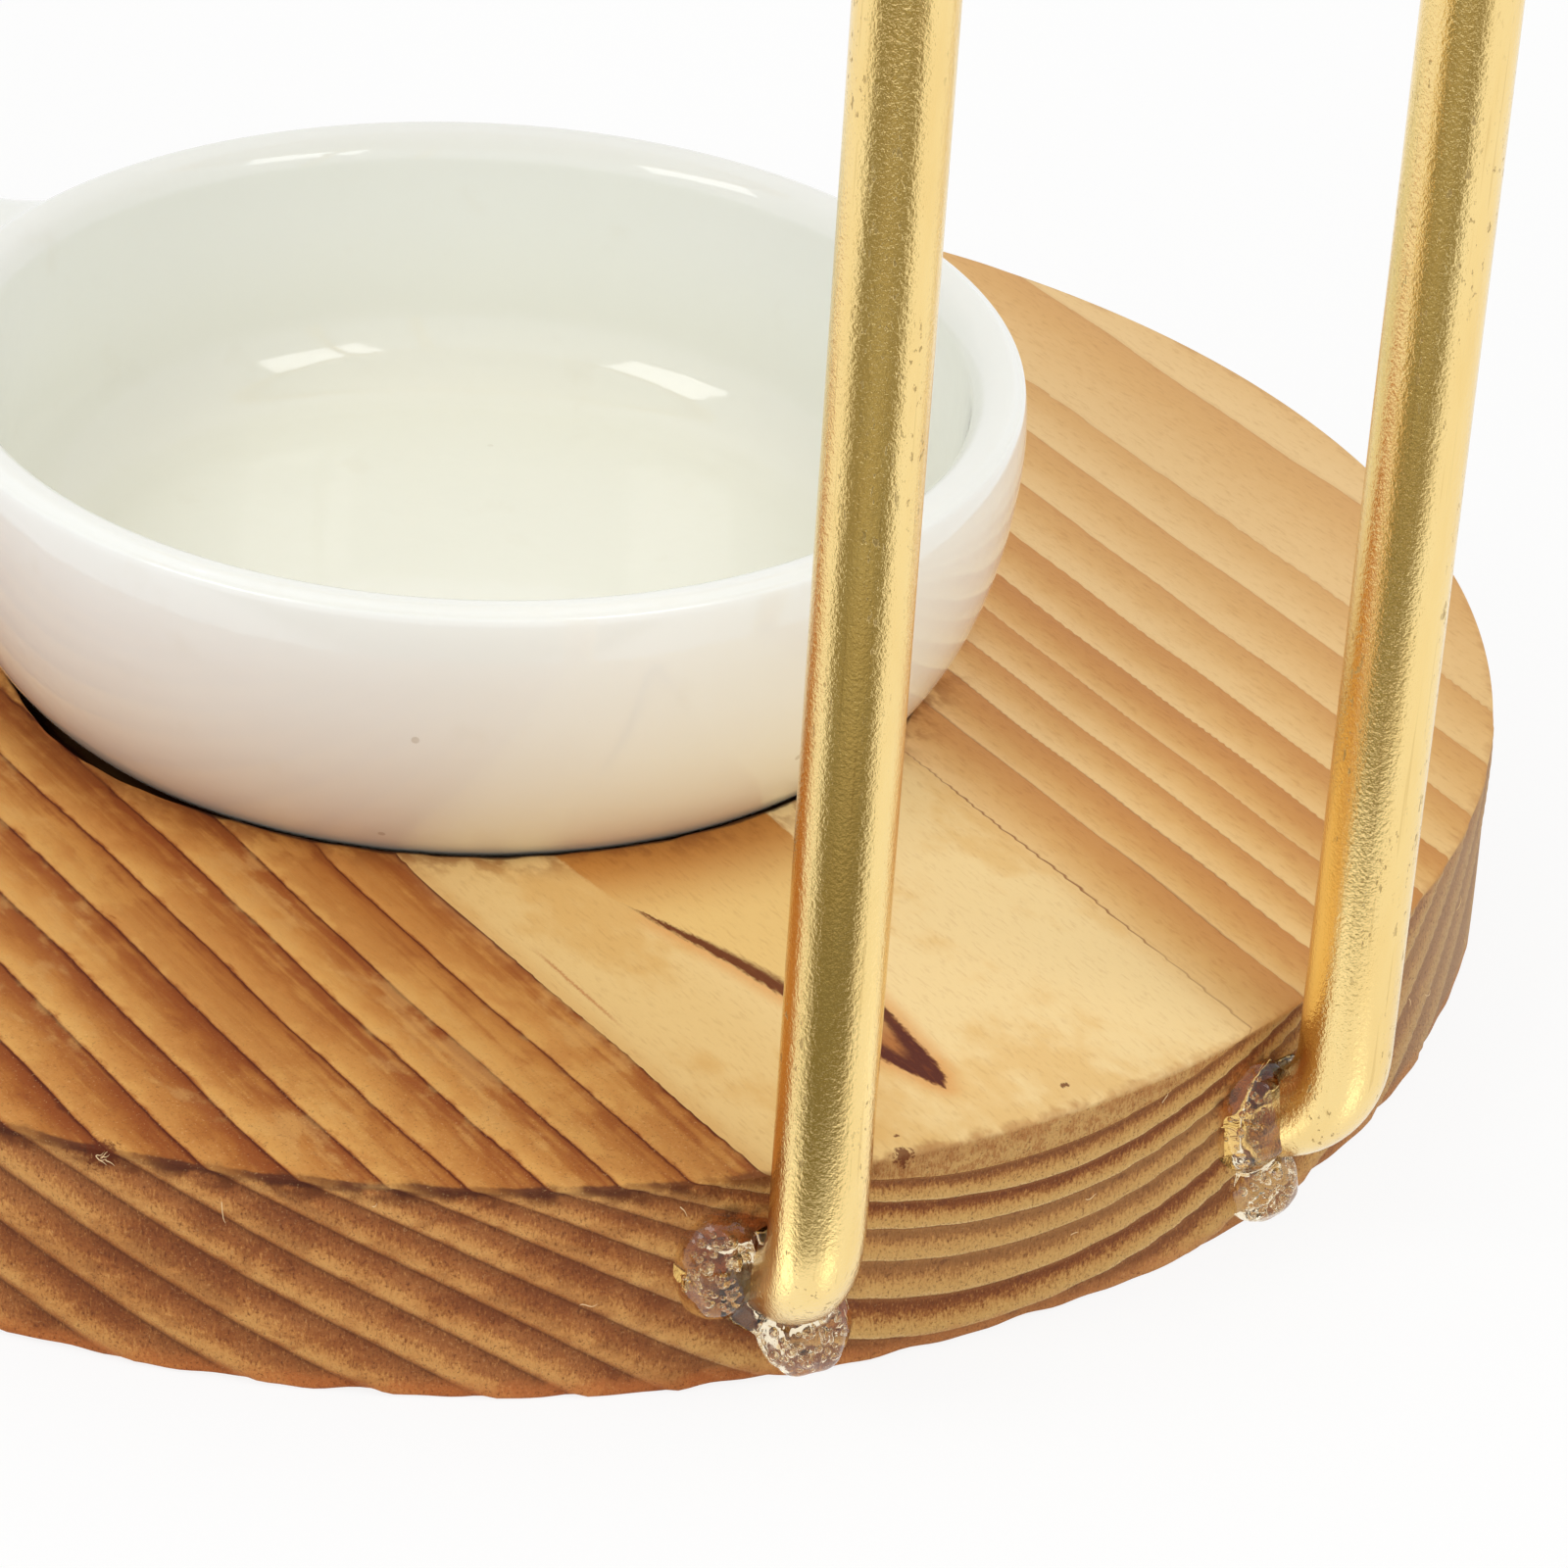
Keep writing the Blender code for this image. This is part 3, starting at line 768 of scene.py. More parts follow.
@dataclass(frozen=True)
class WoodPlace:
    """What the wood's finish reads at a place, as wires of one graph. Lengths are millimetres.

    Attributes:
        graph: The graph.
        place: The place on the surface.
        x: The place across the grain.
        y: The place along the grain.
        z: The height.
        radius: The distance from the burner's axis.
        age: The count of rings.
        torch: How strongly the wood is scorched.
        side: Where the disc's side is.
        fibre: Fine noise along the grain.
        streak: Long noise along the grain.
        hair: Noise in short upright dashes.
        mottle: Noise in patches.
        blotch: Wide soft noise.
        grit: Fine even noise.
    """

    graph: Graph
    place: Wire
    x: Wire
    y: Wire
    z: Wire
    radius: Wire
    age: Wire
    torch: Wire
    side: Wire
    fibre: Wire
    streak: Wire
    hair: Wire
    mottle: Wire
    blotch: Wire
    grit: Wire

    @classmethod
    def read_in(cls, g: Graph) -> "WoodPlace":
        """Adds the nodes that read a place.

        Args:
            g: The graph that takes them.

        Returns:
            The wires that come out of them.
        """
        place = g.place()
        x, y, z = g.axes(place)
        return cls(
            graph=g,
            place=place,
            x=x,
            y=y,
            z=z,
            radius=g.length(g.vector(x, y, 0.0)),
            age=g.attribute("ring_age"),
            torch=g.attribute("torch"),
            side=g.attribute("side"),
            fibre=g.stretched(place, (6.0, 1.1, 6.0), 3.0, 0.6),
            streak=g.stretched(place, (2.6, 0.13, 2.6)),
            hair=g.stretched(place, (9.0, 9.0, 3.4), 3.0, 0.65),
            mottle=g.stretched(place, (0.9, 0.5, 1.2), 3.0, 0.6),
            blotch=g.stretched(place, (0.2, 0.1, 0.3), 3.0, 0.55),
            grit=g.noise(place, 7.0, 2.0, 0.65),
        )


@dataclass(frozen=True)
class TorchedPine:
    """Softwood that was scorched with a torch and brushed. Lengths are millimetres.

    The ramps run through one ring, from its edge outwards. A stain or a chip is a point and its reach.
    """

    radius: float = 50.0
    recess_radius: float = 23.2
    top: float = 10.8
    stains: tuple[Spot, ...] = ()
    chips: tuple[Spot, ...] = (
        ((8.1, 49.3, 10.7), 0.55), ((-1.1, 48.25, 10.8), 0.22),
        ((7.6, 48.0, 10.8), 0.16), ((37.6, 32.7, 10.5), 0.8),
    )
    scorched: Ramp = (
        (0.0, (81, 33, 14)), (0.03, (108, 49, 20)), (0.07, (142, 76, 33)), (0.2, (154, 86, 39)),
        (0.36, (169, 103, 47)), (0.5, (186, 123, 59)), (0.64, (200, 140, 72)), (0.78, (210, 153, 82)),
        (0.9, (216, 162, 90)), (0.95, (205, 146, 76)), (0.98, (165, 97, 44)), (1.0, (81, 33, 14)),
    )
    warmed: Ramp = (
        (0.0, (87, 37, 16)), (0.025, (125, 65, 28)), (0.06, (167, 104, 47)), (0.14, (184, 121, 58)),
        (0.28, (195, 135, 67)), (0.5, (202, 145, 76)), (0.8, (209, 155, 84)), (0.93, (208, 152, 82)),
        (0.975, (179, 116, 58)), (1.0, (87, 37, 16)),
    )
    bare: Ramp = (
        (0.0, (238, 203, 148)), (0.16, (234, 195, 138)), (0.38, (224, 178, 117)), (0.66, (212, 158, 97)),
        (0.9, (206, 149, 89)), (1.0, (202, 144, 86)),
    )
    furry_side: Ramp = (
        (0.0, (128, 78, 44)), (0.04, (146, 92, 54)), (0.12, (124, 70, 38)), (0.28, (138, 80, 43)),
        (0.42, (170, 113, 60)), (0.56, (200, 150, 86)), (0.78, (212, 168, 101)), (0.92, (214, 172, 107)),
        (0.955, (232, 199, 139)), (0.98, (166, 116, 70)), (1.0, (126, 76, 42)),
    )
    burnt_side: Ramp = (
        (0.0, (119, 70, 38)), (0.06, (144, 87, 47)), (0.24, (160, 99, 54)), (0.42, (174, 110, 60)),
        (0.54, (190, 128, 69)), (0.66, (210, 150, 84)), (0.86, (216, 160, 92)), (0.94, (187, 124, 67)),
        (1.0, (119, 70, 38)),
    )

    def material(self) -> bpy.types.Material:
        """Makes the finish.

        Returns:
            The material.
        """
        g = Graph.of_material("torched_pine")
        w = WoodPlace.read_in(g)
        shake = (w.fibre - 0.5) * 0.03 + (w.streak - 0.5) * 0.07
        phase = g.math("FRACT", g.math("MAXIMUM", w.age + shake * (1.0 - w.side), 0.0))
        ring = g.math("FLOOR", w.age + 0.001)
        mood = Wire(g, g.node("TexWhiteNoise", {"W": ring}, noise_dimensions="1D").outputs[0])
        crown = g.rise(w.age, -0.015, 0.0, 1.0, 0.0)
        top = g.mix(crown, self.top_colour(w, phase, mood), self.cream_colour(w))
        top = self.add_tongue(w, top)
        colour = g.mix(w.side, top, self.wall_colour(w, phase, mood, crown))
        colour = self.add_scorch(w, colour, phase)
        colour = self.add_marks(w, colour)
        colour = self.add_wear(w, colour, crown)
        relief = g.rise(phase, 0.0, 0.9) * 0.5 + w.fibre * 0.25 + w.grit * 0.25
        normal = g.bump(relief, 0.00011, 0.6)
        normal = g.bump((w.hair * 0.6 + w.grit * 0.4) * w.side, 0.00026, 0.8, normal)
        roughness = 0.52 + (1.0 - phase) * 0.14 + w.grit * 0.12
        return g.surface(Base_Color=colour, Roughness=roughness, Normal=normal, Specular_IOR_Level=0.14)

    def fibre_material(self) -> bpy.types.Material:
        """The finish of the loose fibres, paler in soft patches.

        Returns:
            The material.
        """
        g = Graph.of_material("loose_fibre")
        tint = g.noise(g.place(), 1.4)
        return g.surface(Base_Color=g.mix(tint, srgb(226, 186, 128), srgb(250, 228, 184)), Roughness=0.6)

    def top_colour(self, w: WoodPlace, phase: Wire, mood: Wire) -> Wire:
        """The rings on the top: dark behind each edge where the torch has been, and darkening
        towards the edge where it has not.

        Args:
            w: What the finish reads.
            phase: How far through its ring a place lies, 0 to 1.
            mood: A number for each ring.

        Returns:
            The colour.
        """
        g = w.graph
        middle = phase * (1.0 - phase) * 4.0
        fur = (w.mottle - 0.5) * 0.75 + (w.fibre - 0.5) * 0.3
        phase = phase + middle * fur * (w.torch * 0.65 + 0.35)
        ember = w.streak * 0.55 + w.mottle * 0.45 + (mood - 0.5) * 0.16 + g.rise(w.x, 18.0, 40.0) * 0.12
        torched = g.mix(g.rise(ember, 0.38, 0.64), g.ramp(phase, self.warmed), g.ramp(phase, self.scorched))
        paler = phase * (1.0 - g.rise(w.age, 5.0, 9.0) * 0.45) - (mood - 0.5) * 0.3
        near = g.rise(phase, 0.05, 0.01) + g.rise(phase, 0.965, 0.995)
        share = g.rise(w.age, 4.5, 1.5) * g.rise(w.blotch, 0.35, 0.55) * 0.4
        share = share + g.rise(w.age, 0.6, 0.3) * 0.35 + 0.08
        bare = g.paint(g.ramp(paler, self.bare), near * share, (142, 86, 54))
        bare = g.stain(bare, g.rise(w.y, 12.0, 42.0) * 0.9, (242, 236, 220))
        return g.mix(w.torch, bare, torched)

    def cream_colour(self, w: WoodPlace) -> Wire:
        """The pale wood between the first rings, which the torch has hardly touched.

        Args:
            w: What the finish reads.

        Returns:
            The colour.
        """
        g = w.graph
        warm = g.rise(w.blotch + (w.mottle - 0.5) * 0.3, 0.46, 0.66)
        cream = g.paint(srgb(241, 213, 157), warm * 0.6, (226, 182, 112))
        cream = g.paint(cream, g.rise(w.age, -0.5, -0.02) * 0.45, (220, 172, 106))
        return g.stain(cream, g.rise(w.x, 2.0, 10.0), (240, 231, 214))

    def add_tongue(self, w: WoodPlace, colour: Wire) -> Wire:
        """Draws the pointed tongue, with its dark resinous edge and amber inside.

        Args:
            w: What the finish reads.
            colour: The colour so far.

        Returns:
            The colour.
        """
        g = w.graph
        mask = g.rise(w.z, self.top - 0.8, self.top - 0.4) * g.rise(w.y, 0.0, 10.0)
        line = g.attribute("tongue_line")
        away = g.attribute("tongue") + (w.fibre - 0.5) * 0.4 + (w.grit - 0.5) * 0.2
        inside = g.rise(away, 0.1, -0.15)
        amber = g.mix(g.rise(w.radius, 30.0, 23.5), srgb(230, 193, 124), srgb(194, 130, 58))
        amber = g.paint(amber, g.rise(w.y, 37.0, 42.0), (172, 106, 54))
        colour = g.paint(colour, g.bell(away, 1.1) * g.rise(line, 0.05, 0.4) * mask * 0.6, (216, 146, 74))
        colour = g.mix(inside * mask * 0.95, colour, amber)
        thin = g.rise((0.0 - away) / g.math("MAXIMUM", line, 0.05), 1.45, 0.75)
        resin = g.mix(g.rise(w.y, 36.0, 42.0), srgb(98, 38, 14), srgb(84, 38, 32))
        resin = g.paint(resin, g.rise(w.fibre, 0.52, 0.7) * 0.4, (140, 76, 44))
        return g.mix(inside * thin * g.rise(line, 0.0, 0.2) * mask * 0.95, colour, resin)

    def wall_colour(self, w: WoodPlace, phase: Wire, mood: Wire, crown: Wire) -> Wire:
        """The rings on the side: a furry brown band under each edge, then honey.

        Args:
            w: What the finish reads.
            phase: How far through its ring a place lies, 0 to 1.
            mood: A number for each ring.
            crown: Where the wood inside the first ring is.

        Returns:
            The colour.
        """
        g = w.graph
        middle = phase * (1.0 - phase) * 4.0
        phase = phase + middle * ((w.hair - 0.5) * 0.8 + (w.grit - 0.5) * 0.3 + (w.mottle - 0.5) * 0.35)
        walls = g.ramp(phase, self.furry_side)
        walls = g.mix(g.rise(mood, 0.4, 0.9) * 0.5, walls, g.paint(walls, 0.6, (206, 160, 98)))
        spots = g.rise(w.mottle, 0.58, 0.7) * g.rise(phase, 0.45, 0.2)
        walls = g.paint(walls, spots * 0.45, (96, 50, 40))
        sooty = g.rise(w.blotch + (w.mottle - 0.5) * 0.7, 0.5, 0.66) * g.rise(phase, 0.97, 0.7)
        burnt = g.paint(g.ramp(phase, self.burnt_side), sooty * 0.35, (116, 66, 44))
        walls = g.mix(g.rise(w.x, 8.0, 24.0), walls, burnt)
        walls = g.paint(walls, g.rise(w.hair, 0.58, 0.7) * 0.4, (218, 158, 92))
        walls = g.paint(walls, g.rise(w.hair, 0.42, 0.3) * 0.45, (88, 44, 24))
        walls = g.paint(walls, g.rise(w.x, -15.0, -32.0) * 0.68, (190, 158, 124))
        mixed = g.rise(w.hair + (w.mottle - 0.5) * 0.6, 0.45, 0.62)
        rim_tan = g.mix(mixed, srgb(206, 162, 100), srgb(180, 126, 72))
        return g.mix(crown * g.rise(w.x, 30.0, 16.0), walls, rim_tan)

    def add_scorch(self, w: WoodPlace, colour: Wire, phase: Wire) -> Wire:
        """Burns the rim and the bottom edge, paints shade into the recess round the cup, and soaks glue into
        the side.

        Args:
            w: What the finish reads.
            colour: The colour so far.
            phase: How far through its ring a place lies.

        Returns:
            The colour.
        """
        g = w.graph
        uneven = w.mottle - 0.5
        frayed = w.radius + uneven * 2.2 + (w.fibre - 0.5) * 0.2
        rim = g.rise((frayed - self.radius) / g.rise(w.x, -20.0, 25.0, 0.55, 0.7), -1.0, 0.15)
        rim = rim * g.rise(w.z + uneven * 1.4, self.top - 1.3, self.top - 0.3)
        rim = rim * (g.rise(w.x, -14.0, 22.0, 0.3, 0.8) * g.rise(phase, 0.9, 0.4, 0.45, 1.0))
        colour = g.mix(rim, colour, g.mix(g.rise(w.x, 0.0, 20.0), srgb(176, 118, 66), srgb(110, 64, 34)))
        seam = g.rise(w.radius + uneven * 0.5, self.radius - 0.5, self.radius - 0.28)
        seam = seam * g.rise(w.z + uneven * 0.7, self.top - 0.5, self.top - 0.26)
        seam = seam * g.rise(w.x, 12.0, 22.0) * g.rise(phase, 0.85, 0.35, 0.3, 0.85)
        colour = g.paint(colour, seam, (88, 46, 30))

        on_face = 1.0 - w.side
        amber = g.rise(frayed, self.recess_radius + 2.6, self.recess_radius - 0.3)
        amber = amber * (on_face * g.rise(w.z, self.top - 0.9, self.top - 0.3))
        colour = g.paint(colour, amber * g.rise(w.mottle, 0.42, 0.62) * 0.7, (158, 98, 48))
        # Painted shade: dark brown on the recess wall and the outer ring of its floor, where the narrow gap
        # round the cup lies in shadow.
        burnt = g.rise(w.radius + uneven * 0.4, self.recess_radius - 0.15, self.recess_radius - 0.35)
        colour = g.paint(colour, burnt * on_face * g.rise(w.z, 4.0, 6.0) * 0.85, (66, 40, 24))
        floor = g.rise(w.z, self.top - 1.8, self.top - 2.3) * g.rise(w.z, 4.0, 6.0) * on_face
        colour = g.paint(colour, floor * g.rise(w.radius, 19.0, 16.0), (176, 124, 74))

        low = g.rise(w.z + uneven * 1.2, 1.3, 0.3) * w.side
        singed = g.mix(g.rise(w.x, 0.0, 20.0), srgb(198, 134, 80), srgb(198, 116, 60))
        colour = g.mix(low * 0.7, colour, singed)
        for point, reach in self.stains:
            soaked = g.rise(g.distance(w.place, point) + uneven * reach * 0.7, reach, reach * 0.55)
            brown = g.mix(g.rise(w.mottle, 0.4, 0.62), srgb(88, 42, 16), srgb(166, 88, 32))
            colour = g.mix(soaked * 0.85, colour, brown)
        return colour

    def add_marks(self, w: WoodPlace, colour: Wire) -> Wire:
        """Adds the small chips, flecks and a thin red shake.

        Args:
            w: What the finish reads.
            colour: The colour so far.

        Returns:
            The colour.
        """
        g = w.graph
        for point, reach in self.chips:
            away = g.distance(w.place, point) + (w.fibre - 0.5) * reach * 2.4 + (w.grit - 0.5) * reach * 1.2
            colour = g.paint(colour, g.rise(away, reach, reach * 0.5) * 0.85, (104, 48, 22))
        shake = g.bell(w.x - 13.3 + (w.hair - 0.5) * 0.3, 0.14)
        shake = shake * g.rise(w.y, 27.0, 30.0) * g.rise(w.y, 36.0, 33.0)
        return g.paint(colour, shake * g.rise(w.z, 9.9, 10.3) * 0.6, (170, 86, 36))

    def add_wear(self, w: WoodPlace, colour: Wire, crown: Wire) -> Wire:
        """Adds fine fibres, browner and paler patches where the torch went, and grit.

        Args:
            w: What the finish reads.
            colour: The colour so far.
            crown: Where the wood inside the first ring is.

        Returns:
            The colour.
        """
        g = w.graph
        colour = g.stain(colour, g.rise(w.fibre, 0.5, 0.75) * 0.2, (190, 150, 120))
        worked = w.torch * (1.0 - crown * (1.0 - w.side) * 0.9)
        patch = g.rise(w.blotch + (w.mottle - 0.5) * 0.6, 0.42, 0.6)
        colour = g.stain(colour, patch * 0.4 * worked, (206, 158, 116))
        bleached = g.rise(w.blotch + (w.mottle - 0.5) * 0.5, 0.44, 0.32) * worked * (1.0 - w.side)
        colour = g.paint(colour, bleached * 0.35, (218, 170, 102))
        rough = g.math("MAXIMUM", worked * g.rise(w.radius, 34.0, 47.0, 0.12, 0.75), w.side)
        pale_grit = g.rise(w.grit, 0.6, 0.74) * rough * (1.0 - w.side * 0.5) * 0.4
        colour = g.paint(colour, pale_grit, (236, 194, 136))
        return g.paint(colour, g.rise(w.grit, 0.42, 0.3) * rough * 0.55, (98, 52, 26))


@dataclass(frozen=True)
class LooseFibre:
    """A fibre that sticks out of the wood: bearing and tilt in degrees, height and length in metres."""

    bearing: float
    height: float
    length: float
    tilt: float


@dataclass
class WoodenBase:
    """The disc with its recess, and the blind holes that hold the uprights.

    Each glue stain lies across and up from an upright's hole, in metres, and has a reach in
    millimetres.
    """

    radius: float = 0.050
    thickness: float = 0.0108
    edge: float = 0.0003
    recess_radius: float = 0.0232
    recess_depth: float = 0.0025
    recess_edge: float = 0.00015
    recess_fillet: float = 0.0004
    recess_waver: float = 0.00007
    recess_nick: float = 0.00014
    open_bearing: float = 8.0
    open_spread: float = 15.0
    tight_reach: float = 0.00045
    top_skin: float = 0.0001
    top_relief: float = 0.00009
    bare_relief: float = 0.00005
    side_relief: float = 0.00013
    chip_depth: float = 0.00024
    wear_reach: float = 0.0012
    low_wear_height: float = 0.0019
    under_wear_height: float = 0.0005
    hair_radius: float = 0.000022
    hair_taper: tuple[float, ...] = (1.0, 1.0, 0.95, 0.85, 0.7, 0.5, 0.2)
    small_hairs: int = 46
    tuft_hairs: int = 6
    fine_step: float = 0.0004
    wall_step: float = 0.0005
    floor_step: float = 0.0016
    under_step: float = 0.0019
    steps: int = 640
    stain_spots: tuple[Point, ...] = ((0.0, 0.0, 3.6), (0.0022, 0.0021, 2.4), (-0.0026, -0.0026, 0.9))
    rings: GrowthRings = field(default_factory=GrowthRings)

    def profile(self) -> np.ndarray:
        """From the middle of the recess over the top, down the side and back under the disc.

        Returns:
            Rows of radius and height.
        """
        floor, top = self.thickness - self.recess_depth, self.thickness
        recess, rim = self.recess_radius, self.radius
        fillet, lip, edge = self.recess_fillet, self.recess_edge, self.edge
        return joined(
            line((0.0, floor), (recess - fillet, floor), self.floor_step),
            arc((recess - fillet, floor + fillet), fillet, fillet, -90, 0, 3),
            line((recess, floor + fillet), (recess, top - lip), self.wall_step),
            arc((recess + lip, top - lip), lip, lip, 180, 90, 3),
            line((recess + lip, top), (rim - edge, top), self.fine_step),
            arc((rim - edge, top - edge), edge, edge, 90, 0, 4),
            line((rim, top - edge), (rim, edge), self.fine_step),
            arc((rim - edge, edge), edge, edge, 0, -90, 4),
            line((rim - edge, 0.0), (0.0, 0.0), self.under_step),
        )

    def torch_share(self, x: np.ndarray, y: np.ndarray) -> np.ndarray:
        """How strongly the top is scorched, from 0 to 1, at places in millimetres."""
        return smooth(9.0, 15.0, x + 1.2 * np.sin(0.2 * y))

    def softness(self, age: np.ndarray) -> np.ndarray:
        """How deep the brush goes at each count of rings, from 0 to 1.

        Args:
            age: Counts of rings.

        Returns:
            The softness, one for each count.
        """
        phase = age - np.floor(age)
        hard = smooth(0.0, 0.14, 1 - phase) * smooth(-0.05, 0.95, phase)
        return np.where(age > 0, 1 - hard, 0.35 * smooth(-0.42, 0.0, age))

    def carve(self, rows: np.ndarray) -> np.ndarray:
        """Brushes the soft bands out of the surface and wears the edges.

        Args:
            rows: The smooth disc's points, by profile row and bearing.

        Returns:
            The carved points.
        """
        x, y, z = rows[..., 0], rows[..., 1], rows[..., 2]
        radius, bearing = np.hypot(x, y), np.arctan2(y, x)
        soft = self.softness(self.rings.age(x / MM, y / MM, self.thickness / MM - z / MM))
        torch = self.torch_share(x / MM, y / MM)
        side = smooth(self.radius - self.edge, self.radius - 0.3 * self.edge, radius)
        side = side * smooth(0.0, self.edge, self.thickness - z)
        top = smooth(self.thickness - self.top_skin, self.thickness, z) * (1 - side)
        low = smooth(self.low_wear_height, 0.0, z)
        low = low * smooth(self.radius - self.wear_reach, self.radius - self.edge, radius)
        high = smooth(self.thickness - self.wear_reach, self.thickness, z) * side
        lumps = 0.4 * np.sin(9 * bearing + 1.0) + 0.35 * np.sin(31 * bearing) * np.sin(11 * bearing + 0.4)
        lumps = lumps + 0.35 * np.sin(83 * bearing + 2.0) * np.sin(19 * bearing)

        inset = side * soft * self.side_relief
        inset = inset + low * self.chip_depth * np.clip(0.25 + 0.35 * soft + 0.4 * lumps, 0.0, 1.0)
        inset = inset + high * self.side_relief * (0.4 + 0.5 * soft * torch)
        drop = top * soft * (self.bare_relief + (self.top_relief - self.bare_relief) * torch)
        lift = smooth(self.under_wear_height, 0.0, z) * low * self.chip_depth
        lift = lift * np.clip(0.15 + 0.7 * lumps + 0.3 * soft, 0.0, 1.0)
        near, nicks, widen = self.recess_wear(radius, z, bearing)
        carved = rows.copy()
        carved[..., :2] *= (1 - inset / np.maximum(radius, self.recess_depth))[..., None]
        carved[..., :2] *= widen[..., None]
        carved[..., 2] -= drop
        carved[..., 2] += lift
        carved[..., 2] -= near * top * self.recess_nick * np.clip(nicks, 0.0, 1.0)
        return carved

    def recess_wear(
        self, radius: np.ndarray, z: np.ndarray, bearing: np.ndarray
    ) -> tuple[np.ndarray, np.ndarray, np.ndarray]:
        """How the recess's edge is nicked, and tighter round the cup than on the side that the cup leaves.

        Args:
            radius: Distances from the burner's axis.
            z: Heights.
            bearing: Bearings from the axis, in radians.

        Returns:
            How near each place lies to the edge, how nicked its bearing is, and the factor that
            moves it outwards.
        """
        near = smooth(self.recess_radius + self.wear_reach, self.recess_radius + 0.0002, radius)
        near = near * smooth(self.thickness - self.recess_depth, self.thickness - 0.0006, z)
        nicks = np.sin(7 * bearing + 0.6) * 0.4 + np.sin(17 * bearing + 2.0) * 0.3
        nicks = nicks + np.sin(53 * bearing) * 0.3
        open_side = np.exp(-((np.degrees(bearing) - self.open_bearing) / self.open_spread) ** 2)
        shift = self.recess_waver * nicks - self.tight_reach * (1 - open_side)
        return near, nicks, 1 + near * shift / np.maximum(radius, self.recess_depth)

    def fibre_routes(self) -> list[np.ndarray]:
        """The loose fibres that stick out of the rim and the side.

        Returns:
            The centreline of each fibre.
        """
        rng = np.random.default_rng(7)
        fibres = [LooseFibre(47.0, 0.0097, 0.0016, -80.0)]
        for _ in range(self.tuft_hairs):
            fibres.append(LooseFibre(41.0 + rng.normal() * 0.5, 0.0104, 0.0005, rng.uniform(-60, 60)))
        for _ in range(self.small_hairs):
            bearing, height = rng.uniform(0, 360), rng.uniform(0.002, 0.0103)
            fibres.append(LooseFibre(bearing, height, rng.uniform(0.0003, 0.0008), rng.uniform(-90, 90)))
        upwards = np.array([0.0, 0.0, 1.0])
        t = np.linspace(0.0, 1.0, len(self.hair_taper))[:, None]
        routes = []
        for fibre in fibres:
            bearing, tilt = math.radians(fibre.bearing), math.radians(fibre.tilt)
            out = np.array([math.cos(bearing), math.sin(bearing), 0.0])
            along = np.array([-out[1], out[0], 0.0]) * math.cos(tilt) + upwards * math.sin(tilt)
            lift = 0.5 * np.sin(t * math.pi) * rng.uniform(0.15, 0.4) - 0.1 * (1 - t)
            bend = upwards * np.sin(t * 5.0 + fibre.tilt) * 0.12
            start = out * (self.radius - 0.00002) + upwards * fibre.height
            routes.append(start + fibre.length * (t * along + lift * out + bend))
        return routes

    def add_fibres(self, base: bpy.types.Object) -> int:
        """Joins the loose fibres on.

        Args:
            base: The disc.

        Returns:
            How many faces the disc has without them.
        """
        built = bmesh.new()
        built.from_mesh(base.data)
        own_faces = len(built.faces)
        for route in self.fibre_routes():
            fibre = tube("fibre", route, self.hair_radius * np.array(self.hair_taper), 5)
            built.from_mesh(fibre.data)
            bpy.data.objects.remove(fibre)
        built.to_mesh(base.data)
        built.free()
        return own_faces

    def store_fields(self, base: bpy.types.Object) -> None:
        """Stores on the disc what its finish reads at each corner.

        Args:
            base: The disc, with its holes and fibres.
        """
        x, y, z = (corner_array(base.data) / MM).T
        depth = self.thickness / MM - z
        side = smooth(self.radius / MM - 0.5, self.radius / MM - 0.25, np.hypot(x, y))
        side = side * smooth(0.05, 0.35, depth)
        under = smooth(0.3, 0.1, z) * (1 - side)
        recessed = smooth(1.0, 2.0, depth) * (1 - side) * (1 - under)
        torch = np.maximum(self.torch_share(x, y), recessed * 0.8) * (1 - under)
        tongue, tongue_line = self.rings.tongue(x, y)
        add_attribute(base, "ring_age", self.rings.age(x, y, depth))
        add_attribute(base, "tongue", tongue)
        add_attribute(base, "tongue_line", tongue_line)
        add_attribute(base, "side", side)
        add_attribute(base, "torch", torch)

    def stains(self, layout: "StandLayout") -> tuple[Spot, ...]:
        """Where glue has soaked into the side, in millimetres.

        Args:
            layout: Where the uprights enter.

        Returns:
            Each stain's point and reach.
        """
        spots = []
        for side in Side:
            for across, up, reach in self.stain_spots:
                bearing = layout.bearing(side) - across / self.radius
                x, y = math.cos(bearing) * self.radius, math.sin(bearing) * self.radius
                z = layout.spigot_height + up
                spots.append(((x / MM, y / MM, z / MM), reach))
        return tuple(spots)

    def build_and_dress(self, layout: "StandLayout") -> None:
        """Makes the disc with its holes and fibres, and gives it its finishes.

        Args:
            layout: Where the uprights enter.
        """
        profile = self.profile()
        base = turned("pine_disc", profile, self.carve(turned_points(profile[1:-1], full_turn(self.steps))))
        for side in Side:
            cut_away(base, layout.spigot_hole(side))
        own_faces = self.add_fibres(base)
        shade_with_edges(base, 50)
        self.store_fields(base)
        reach, recess, top = self.radius / MM, self.recess_radius / MM, self.thickness / MM
        pine = TorchedPine(reach, recess, top, self.stains(layout))
        finish_piece(base, pine.material(), Body.STAND, ["wooden_base"])
        base.data.materials.append(pine.fibre_material())
        slots = np.zeros(len(base.data.polygons), np.int32)
        slots[own_faces:] = 1
        base.data.polygons.foreach_set("material_index", slots)


# The wire stand


